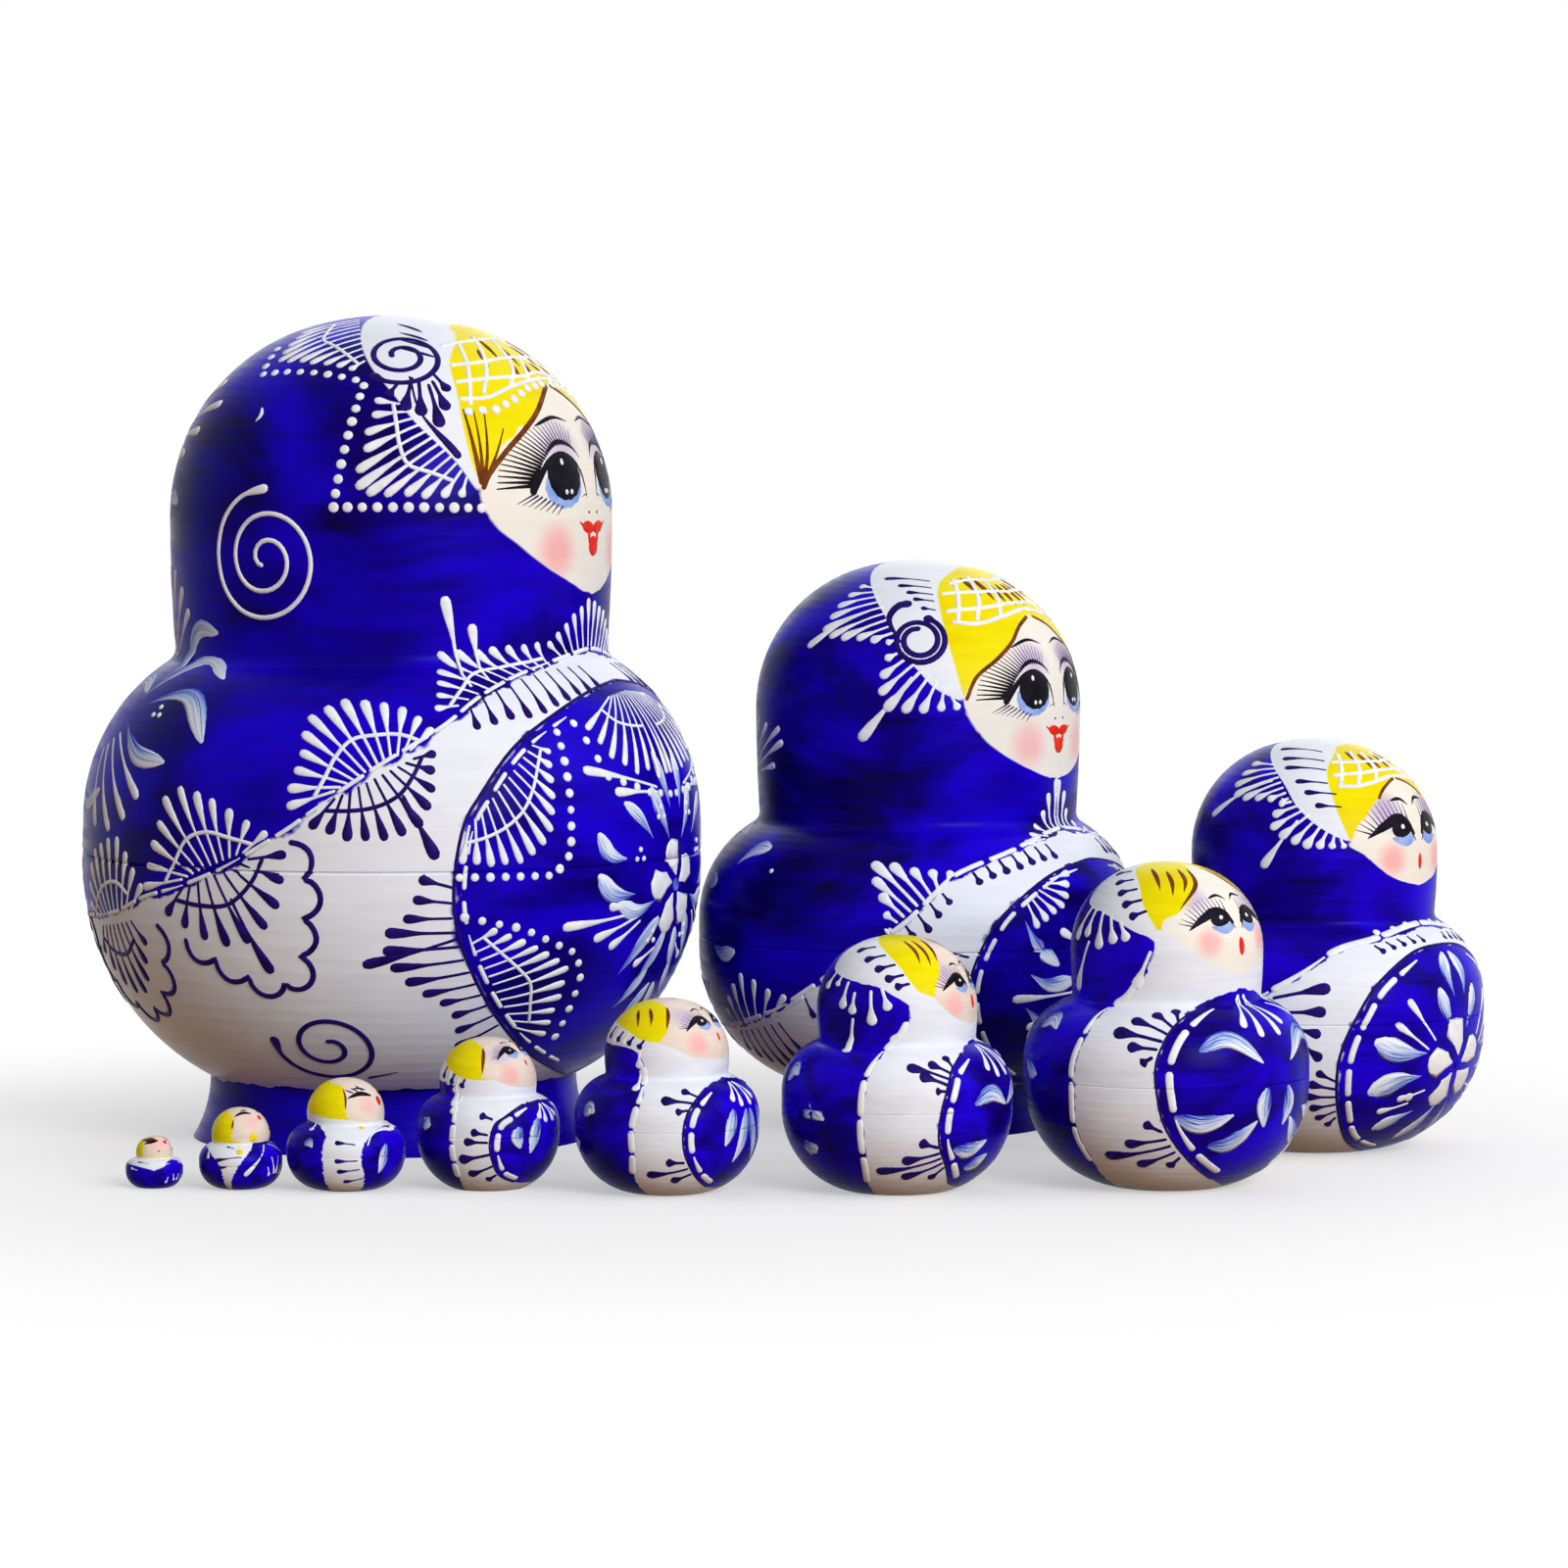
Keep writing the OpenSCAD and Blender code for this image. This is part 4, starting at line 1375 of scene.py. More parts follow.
    def draw_back(self, b: Brushwork) -> None:
        """Lay the sprays that run round to the back of the shawl."""
        petals = (
            (((-136, 80), (-121, 88), (-107, 85)), 4.0), (((-130, 80), (-114, 82), (-103.6, 74)), 4.6),
            (((-133, 77), (-122, 71.6), (-112, 70.6)), 4.0), (((-134, 83), (-126, 93), (-115, 93)), 4.0),
            (((-150, 112), (-144, 117), (-137, 116)), 3.4), (((-154, 78), (-144, 84), (-134, 82)), 3.6),
            (((-152, 66), (-143, 62), (-134, 65)), 3.4), (((-170, 92), (-160, 96), (-150, 91)), 3.4),
            (((-168, 56), (-158, 53), (-149, 57)), 3.2),
        )
        b.petals(petals)
        drops = (
            ((-134, 75), (-118, 64)), ((-136, 74), (-122, 60)), ((-138, 73), (-128, 57.6)), ((-140, 72), (-135, 58)),
            ((-142, 88), (-130, 97)), ((-144, 89), (-134, 101)), ((-147, 90), (-140, 104)), ((-150, 91), (-147, 105)),
            ((-158, 128), (-128, 134)), ((-160, 127), (-134, 129)), ((-161, 126), (-140, 124.6)),
            ((-162, 129), (-139, 138)),
        )
        b.drops(drops, 1.7)
        b.trio((-121.6, 79))

    def draw_middle(self, b: Brushwork) -> None:
        """Lay lips, the apron's flower and the flowers of the back."""
        self.lips(b)
        b.bloom(Ink.WHITE, (0, 47.6), 5, 9.8, 6.6)
        b.dot(Ink.SKY, (0, 47.6), 1.3)
        for mark, length in (((180, 73), 11.0), ((180, 118), 9.0)):
            b.bloom(Ink.SKY, mark, 6, length, 6.0)
            b.bloom(Ink.WHITE, mark, 6, 0.5 * length, 1.6, 60)
            b.dot(Ink.WHITE, mark, 1.6)


@dataclass
class SecondDoll(ShawlDoll):
    """The second doll, with loops on its hair band and fewer fans."""

    shawl: Marks = (
        (180, 165), (150, 172), (129, 180), (114, 198), (99, 228), (89, 263), (65, 371), (58, 413), (50, 459),
        (44, 476), (34, 494), (24, 510), (3, 530), (0, 532),
    )
    apron: Marks = (
        (0, 85), (22, 100), (36, 140), (43, 190), (46, 250), (45, 310), (40, 376), (34, 416), (21, 462), (8, 480),
        (0, 485),
    )
    face: Marks = (
        (0, 621), (5, 625), (10, 632), (21, 652), (33, 687), (40, 724), (42.5, 758), (38, 802), (29, 832), (20, 860),
        (12, 888), (0, 907),
    )
    hair: Marks = ((42.5, 762), (44, 785), (46, 827), (48, 874), (49, 921), (46, 962), (20, 985), (0, 990))
    band: Marks = ((45, 765), (53, 785), (59, 815), (65, 845), (71, 892), (82, 938), (97, 973))
    foot: Marks = ((180, 0), (180, 79), (0, 83))
    cheek: Dab = ((17, 685), 6.0, 0.7)
    shade: Dab = ((12, 830), 5.8, 0.75)

    def draw_head(self, b: Brushwork) -> None:
        """Lay the hair's strands and net, the band's loops and the fans behind it."""
        b.line(Ink.BROWN, b.at((-42.4, 764), (-38, 804), (-29, 833), (-20, 861), (-12, 888), (-2, 905)), 0.9, lift=0.4)
        strands = (((-28, 972), (-24, 940)), ((-18, 970), (-17, 932)), ((-10, 966), (-10, 928)), ((-3, 960), (-4, 922)))
        b.lines(Ink.BROWN, strands, 1.7, Taper.LEAF, 0.4)
        net = (
            ((-47, 945), (-24, 948), (0, 946)), ((-47, 915), (-25, 922), (0, 928)), ((-40, 962), (-20, 968), (0, 966)),
            ((-34, 970), (-38, 940), (-42, 898)), ((-20, 974), (-26, 940), (-33, 900)),
            ((-8, 972), (-13, 940), (-20, 905)), ((-45, 898), (-33, 895), (-20, 905), (-8, 914), (0, 918)),
        )
        b.lines(Ink.WHITE, net, 1.05, Taper.EVEN)
        b.spiral(Ink.INDIGO, (-59.0, 868), 80, 2.0, (2.4, 5.1), 1.25)
        b.line(Ink.INDIGO, b.at((-62, 930), (-69, 925), (-72, 900), (-66, 862)), 2.4, Taper.TAIL)
        for z, end in ((966, -84), (955, -72), (944, -66), (933, -62), (918, -58)):
            b.line(Ink.INDIGO, b.at((-51, z), (end, z + 4)), 1.3, Taper.DROP)
        b.comb(((-86, 955), (-67, 870)), ((-97.5, 957), (-103, 895), (-100, 868), (-72, 862)), 10, 1.75)
        b.drop((-80, 920), (-107, 852), 1.5)
        b.comb(((-65, 850), (-48, 776)), ((-71.5, 835), (-73.5, 768), (-69, 742), (-45, 747)), 8, 2.0)
        b.drop((-61, 806), (-80, 694), 1.9)
        b.comb(((-140, 670), (-136, 630)), ((-136, 725), (-112, 710), (-120, 645)), 5, 1.4)

    def draw_shawl(self, b: Brushwork) -> None:
        """Lay the fringe of fans along the shawl's edge."""
        b.dashes(mirrored(self.shawl, rise=6), 16, 1.1, 0.85)
        b.comb(((-14, 522), (-1, 536)), ((-24, 517), (-10, 562), (-5, 608), (-1, 622)), 6, 1.5)
        b.comb(((-44, 474), (-16, 515)), ((-42, 452), (-15, 488)), 7, 2.1, ink=Ink.INDIGO)
        b.comb(((-66, 380), (-52, 450)), ((-67.5, 372), (-69, 430), (-73.5, 488), (-62, 483), (-50, 476)), 9, 2.0)
        b.comb(((-66, 372), (-53, 440)), ((-64, 350), (-56, 372), (-50.5, 420)), 5, 1.7, ink=Ink.INDIGO)
        b.comb(((-90, 256), (-72, 338)), ((-88, 220), (-70, 300)), 4, 1.5, ink=Ink.INDIGO)
        for middle in (-114, -158):
            b.comb(
                turned(((-8, 190), (13, 216)), middle),
                turned(((-11, 220), (-3, 270), (3, 294), (15, 262), (24, 262)), middle), 8, 1.6,
            )
            b.comb(
                turned(((-8, 182), (13, 208)), middle), turned(((-14, 140), (2, 118), (18, 150)), middle), 7, 1.6,
                ink=Ink.INDIGO,
            )
        petals = (
            (((-122, 470), (-116, 500), (-109, 505)), 2.6), (((-140, 420), (-135, 440), (-129, 436)), 2.4),
            (((-150, 500), (-142, 530), (-134, 520)), 2.8), (((-168, 360), (-160, 330), (-150, 340)), 2.6),
            (((-128, 340), (-121, 318), (-114, 326)), 2.4),
        )
        b.petals(petals, 1.4)
        b.dot(Ink.WHITE, (-104, 468), 0.5)

    def draw_apron(self, b: Brushwork) -> None:
        """Lay the apron's edge, corner fan and half of its bouquet."""
        edge = mirrored(self.apron)
        b.line(Ink.INDIGO, b.at(*edge), 0.6, lift=0.5)
        b.dashes(inset(edge[1:-1], 290, 0.95, 0.955), 10, 1.0, 0.75)
        b.comb(((-21, 456), (-30, 424)), ((-13, 466), (-17, 410), (-27, 376)), 7, 1.5)
        petals = (
            (((-31, 392), (-27, 345), (-20, 308)), 2.4), (((-30, 300), (-23, 276), (-14, 282)), 2.6),
            (((-30, 240), (-23, 212), (-15, 226)), 2.6), (((-4, 420), (-3, 380), (-2, 340)), 2.2),
            (((-4, 240), (-8, 190), (-14, 150)), 2.4),
        )
        b.petals(petals, 1.3)
        drops = ((-12, 262), (-34, 254)), ((-12, 250), (-28, 200)), ((-8, 330), (-20, 370))
        b.drops(drops, 1.5)
        b.comb(((-46, 330), (-46, 200)), ((-54, 340), (-60, 250), (-52, 180)), 6, 1.6, ink=Ink.INDIGO)

    def draw_middle(self, b: Brushwork) -> None:
        """Lay lips, the apron's flower and the flower of the back."""
        self.lips(b)
        b.bloom(Ink.WHITE, (0, 290), 5, 7.6, 5.0)
        b.dot(Ink.SKY, (0, 290), 1.0)
        b.bloom(Ink.SKY, (180, 450), 6, 8.0, 4.6)
        b.bloom(Ink.WHITE, (180, 450), 6, 4.0, 1.3, 60)


@dataclass
class ThirdDoll(ShawlDoll):
    """The third doll, with plain dashes on its hair band and a large apron."""

    blue: Coat = Coat.BLUE
    shawl: Marks = (
        (180, 225), (150, 230), (130, 240), (110, 275), (90, 335), (75, 400), (68, 428), (60, 463), (49, 506),
        (30, 532), (0, 556),
    )
    apron: Marks = (
        (0, 0), (19, 6), (41, 43), (48, 113), (50, 194), (49, 271), (44, 353), (36, 433), (18, 502), (0, 515),
    )
    face: Marks = (
        (0, 655), (4, 658), (9, 664), (18, 677), (27, 705), (35, 738), (41, 762), (40, 778), (34, 822), (28, 846),
        (20, 871), (12, 898), (0, 910),
    )
    hair: Marks = ((41, 768), (45, 815), (49, 881), (50, 931), (40, 970), (0, 990))
    band: Marks = ((43, 770), (50, 786), (59, 815), (67, 851), (76, 901), (87, 936), (110, 975))
    cheek: Dab = ((19, 722), 4.4, 0.85)
    shade: Dab = ((20, 840), 5.4, 0.85)

    def draw_face(self, b: Brushwork) -> None:
        """Lay one eye with its lashes and brow."""
        sister_eye(b, (0.0, self.mouth), self.scale)

    def draw_head(self, b: Brushwork) -> None:
        """Lay the hair's strands and net, the band's dashes and the fans behind it."""
        b.line(Ink.BROWN, b.at((-22, 866), (-17, 886), (-8, 904), (-1, 912)), 0.7, lift=0.4)
        strands = ((-26, 975), (-22, 945)), ((-14, 970), (-14, 935)), ((-5, 965), (-6, 930))
        b.lines(Ink.BROWN, strands, 1.3, Taper.LEAF, 0.4)
        net = (
            ((-46, 952), (-24, 952), (0, 950)), ((-47, 922), (-25, 928), (0, 932)),
            ((-36, 972), (-39, 940), (-43, 900)), ((-20, 976), (-25, 940), (-32, 900)),
            ((-7, 974), (-11, 940), (-18, 908)), ((-45, 898), (-32, 898), (-18, 908), (0, 918)),
        )
        b.lines(Ink.WHITE, net, 0.95, Taper.EVEN)
        dashes = (
            ((-50, 975), (-100, 979)), ((-50, 955), (-86, 959)), ((-50, 935), (-80, 939)), ((-50, 905), (-70, 909)),
            ((-45.8, 880), (-64, 884)), ((-44, 850), (-58, 854)),
        )
        b.lines(Ink.INDIGO, dashes, 1.3, Taper.DROP)
        b.comb(((-90, 945), (-72, 870)), ((-112, 944), (-111, 888), (-104, 860), (-76, 862)), 8, 1.7)
        b.drop((-84, 910), (-119, 818), 1.3)
        b.comb(((-70, 862), (-46, 776)), ((-77, 856), (-80, 806), (-72, 768), (-62, 750), (-44, 752)), 9, 1.8)
        b.drop((-66, 820), (-83, 702), 1.5)

    def draw_shawl(self, b: Brushwork) -> None:
        """Lay the shawl's piping and the fans below it."""
        b.dashes(mirrored(self.shawl, rise=8), 8, 1.6, 0.97)
        for mark in ((-30, 550), (-20, 556), (-11, 562)):
            b.dot(Ink.WHITE, mark, 0.75)
        b.comb(((-34, 522), (-10, 540)), ((-30, 504), (-8, 522)), 5, 1.7, ink=Ink.INDIGO)
        b.comb(((-72, 400), (-63, 300)), ((-52, 428), (-53, 376), (-55, 320), (-55.5, 255)), 4, 2.1, ink=Ink.INDIGO)
        b.comb(((-50, 200), (-49, 110)), ((-57, 224), (-61, 180), (-59, 120), (-53, 85)), 6, 1.8, ink=Ink.INDIGO)
        for middle in (-118, -156):
            b.comb(turned(((-6, 260), (8, 276)), middle), turned(((-12, 290), (0, 360), (12, 310)), middle), 7, 1.3)
            b.comb(
                turned(((-6, 246), (8, 262)), middle), turned(((-10, 200), (0, 150), (12, 200)), middle), 7, 1.3,
                ink=Ink.INDIGO,
            )

    def draw_apron(self, b: Brushwork) -> None:
        """Lay the apron's edge and half of its bouquet."""
        edge = mirrored(self.apron)
        b.line(Ink.INDIGO, b.at(*edge[1:]), 0.7, lift=0.5)
        b.dashes(inset(edge[1:-1], 260, 0.92, 0.94), 8, 1.3, 0.86)
        petals = (
            (((-16, 262), (-28, 268), (-38, 300)), 3.6), (((-17, 208), (-28, 196), (-39, 168)), 3.6),
            (((-15, 120), (-23, 98), (-32, 72)), 2.6), (((-3, 390), (-5, 450), (-2, 500)), 2.6),
            (((-4, 310), (-8, 360), (-11, 420)), 2.6), (((-3, 140), (-7, 80), (-14, 40)), 2.6),
            (((-132, 500), (-124, 530), (-116, 520)), 2.4), (((-150, 420), (-143, 450), (-135, 440)), 2.4),
        )
        b.petals(petals, 1.25)
        drops = (((-13, 290), (-25, 395)), ((-16, 270), (-30, 340)), ((-20, 140), (-33, 120)), ((-14, 170), (-26, 150)))
        b.drops(drops, 1.3)
        b.dot(Ink.WHITE, (-21, 155), 0.9)

    def draw_middle(self, b: Brushwork) -> None:
        """Lay the mouth, the apron's flower and the flower of the back."""
        b.oval(Ink.RED, (0, self.mouth), (0, 0), (0.6, 1.6), 0, 0.5)
        b.bloom(Ink.WHITE, (0, 225), 5, 9.2, 6.0)
        b.dot(Ink.SKY, (0, 225), 0.9)
        b.bloom(Ink.SKY, (180, 450), 6, 6.4, 3.6)


def sister_eye(b: Brushwork, mouth: Mark, scale: float) -> None:
    """Lay one eye of a smaller doll with its lashes and brow.

    Args:
        b: The doll's brushwork.
        mouth: Mark of the mouth, from which the eye is measured.
        scale: Size of the eye's drawing, which is in millimetres.
    """
    k = scale

    def spot(*steps: Mark) -> Array:
        """Places of the eye's strokes."""
        return b.near(mouth, *[(x * k, y * k) for x, y in steps])

    b.line(Ink.ICE, spot((-1.2, 5.2), (-4.2, 4.0), (-8.2, 5.0)), 2.6 * k, Taper.LEAF, 0.2)
    b.oval(Ink.BLACK, mouth, (-4.8 * k, 6.9 * k), (3.3 * k, 2.3 * k), 8, 0.4)
    b.oval(Ink.WHITE, mouth, (-4.6 * k, 7.0 * k), (0.6 * k, 0.6 * k), 0, 0.9)
    b.line(Ink.BLACK, spot((-1.0, 5.0), (-4.4, 8.6), (-9.0, 8.0), (-15.2, 5.2)), 2.5 * k, Taper.LEAF, 0.45)
    b.line(Ink.BLACK, spot((-2.2, 5.8), (-1.0, 3.8)), 0.7 * k, Taper.TAIL, 0.4)
    b.line(Ink.BLACK, spot((-6.4, 13.6), (-3.0, 13.8), (-0.7, 11.6)), 0.9 * k, Taper.LEAF, 0.4)
    for x in np.linspace(0, 1, 12):
        root, tip = (-13.6 + 11.0 * x, 6.4 + 1.8 * x), (-18.6 + 15.8 * x, 8.4 + 6.0 * math.sin(2.4 * x))
        b.line(Ink.PLUM, spot(root, tip), 0.52 * k, Taper.TAIL, 0.35)


@dataclass
class SisterDoll(Doll):
    """A middling doll: white front, blue shawl and apron edged with dashes, yellow hair.

    Attributes:
        scale: Size of the eyes' drawing, which is in millimetres.
        mouth: Height of the mouth, and half its width and height in millimetres.
        fans: Roots, tips and number of the dark teardrops beside the apron.
        stroke: Full width of a teardrop in millimetres.
        cap: Roots and tips of the white teardrops behind the hair.
        petals: Routes of the pale petals.
        strands: Routes of the hair's dark strands.
        crown: Tails and tips of the dark teardrops on the white cap.
        cheek: Side angle, height and reach in millimetres of the cheek's blush.
    """

    scale: float = 1.0
    mouth: Triple = (750, 0.5, 1.2)
    fans: Sequence[tuple[Marks, Marks, int]] = ()
    stroke: float = 1.2
    cap: Sequence[tuple[Mark, Mark]] = ()
    petals: Sequence[Marks] = ()
    strands: Sequence[Marks] = ()
    crown: Sequence[tuple[Mark, Mark]] = ()
    cheek: Triple = (22, 760, 3.0)

    PIPING = 1.3
    NECK = 700

    def blushes(self) -> list[Blush]:
        """Cheeks and the shade over the eyes."""
        side, z, reach = self.cheek
        shade = Blush(Coat.VIOLET, (1.3 * side, z + 130), 1.1 * reach, 0.75)
        return [Blush(Coat.PINK, (side, z), reach, 0.8), shade]

    def draw_side(self, b: Brushwork) -> None:
        """Lay eye, strands, dashes and teardrops of one side."""
        sister_eye(b, (0.0, self.mouth[0]), self.scale)
        b.lines(Ink.BROWN, self.strands, 0.75 * self.stroke, Taper.LEAF, 0.4)
        low = tuple((-side - 1.5, z) for side, z in self.shawl if z < self.NECK)
        b.dashes(low[1:], 5, self.PIPING, 0.93)
        edge = mirrored(self.apron)
        middle = 0.5 * (edge[0][1] + edge[-1][1])
        b.line(Ink.INDIGO, b.at(*edge[1:-1]), 0.4 * self.stroke, lift=0.5)
        b.dashes(inset(edge[1:-1], middle, 0.9, 0.92), 5, 1.1 * self.stroke, 0.87)
        for roots, tips, count in self.fans:
            b.comb(roots, tips, count, 1.6 * self.stroke, ink=Ink.INDIGO)
        b.drops(self.cap, 1.35 * self.stroke)
        b.drops(self.crown, 1.3 * self.stroke, ink=Ink.INDIGO)
        b.lines(Ink.SKY, self.petals, 2.5 * self.stroke, Taper.LEAF, b.PETAL_LIFT)

    def draw_middle(self, b: Brushwork) -> None:
        """Lay the mouth, the apron's top drops and the flower of the back."""
        b.oval(Ink.RED, (0, self.mouth[0]), (0, 0), self.mouth[1:], 0, 0.6)
        top = self.apron[-1][1]
        for side in (-1, 1):
            for turn, drop in ((6, 140), (14, 110)):
                b.drop((2 * side, top - 20), (turn * side, top - drop), self.stroke)
        b.bloom(Ink.SKY, (180, 360), 5, 4.4 * self.stroke, 2.4 * self.stroke)
        b.dot(Ink.WHITE, (180, 360), 0.6 * self.stroke)


@dataclass
class BabyDoll(Doll):
    """One of the smallest dolls: a few loose strokes over the same colours.

    Attributes:
        strokes: Paint, route and width in millimetres of every stroke of one side.
        dabs: Paint, mark and radius in millimetres of every dab of one side.
        lips: Height of the lips, half their width and half their height in millimetres.
    """

    hair_border: Border = Border.WITHIN
    foot: Marks = ((180, 0), (180, 18.8), (0, 20))
    strokes: Sequence[tuple[Ink, Marks, float]] = ()
    dabs: Sequence[tuple[Ink, Mark, float]] = ()
    lips: Triple = (800, 0.5, 0.5)

    def blushes(self) -> list[Blush]:
        """Cheeks."""
        return [Blush(Coat.PINK, (30, self.lips[0] - 20), 2.2, 0.55)]

    def draw_side(self, b: Brushwork) -> None:
        """Lay the loose strokes and dabs of one side."""
        for ink, route, width in self.strokes:
            drop = ink in (Ink.WHITE, Ink.INDIGO)
            b.line(ink, b.at(*route), width, Taper.DROP if drop else Taper.LEAF, 0.8)
        for ink, mark, radius in self.dabs:
            b.dot(ink, mark, radius)

    def draw_middle(self, b: Brushwork) -> None:
        """Lay the lips and a petal on the back."""
        b.oval(Ink.RED, (0, self.lips[0]), (0, 0), self.lips[1:], 0, 0.7)
        b.line(Ink.SKY, b.at((172, 400), (180, 440), (188, 400)), 2.6 * self.lips[1], Taper.LEAF)


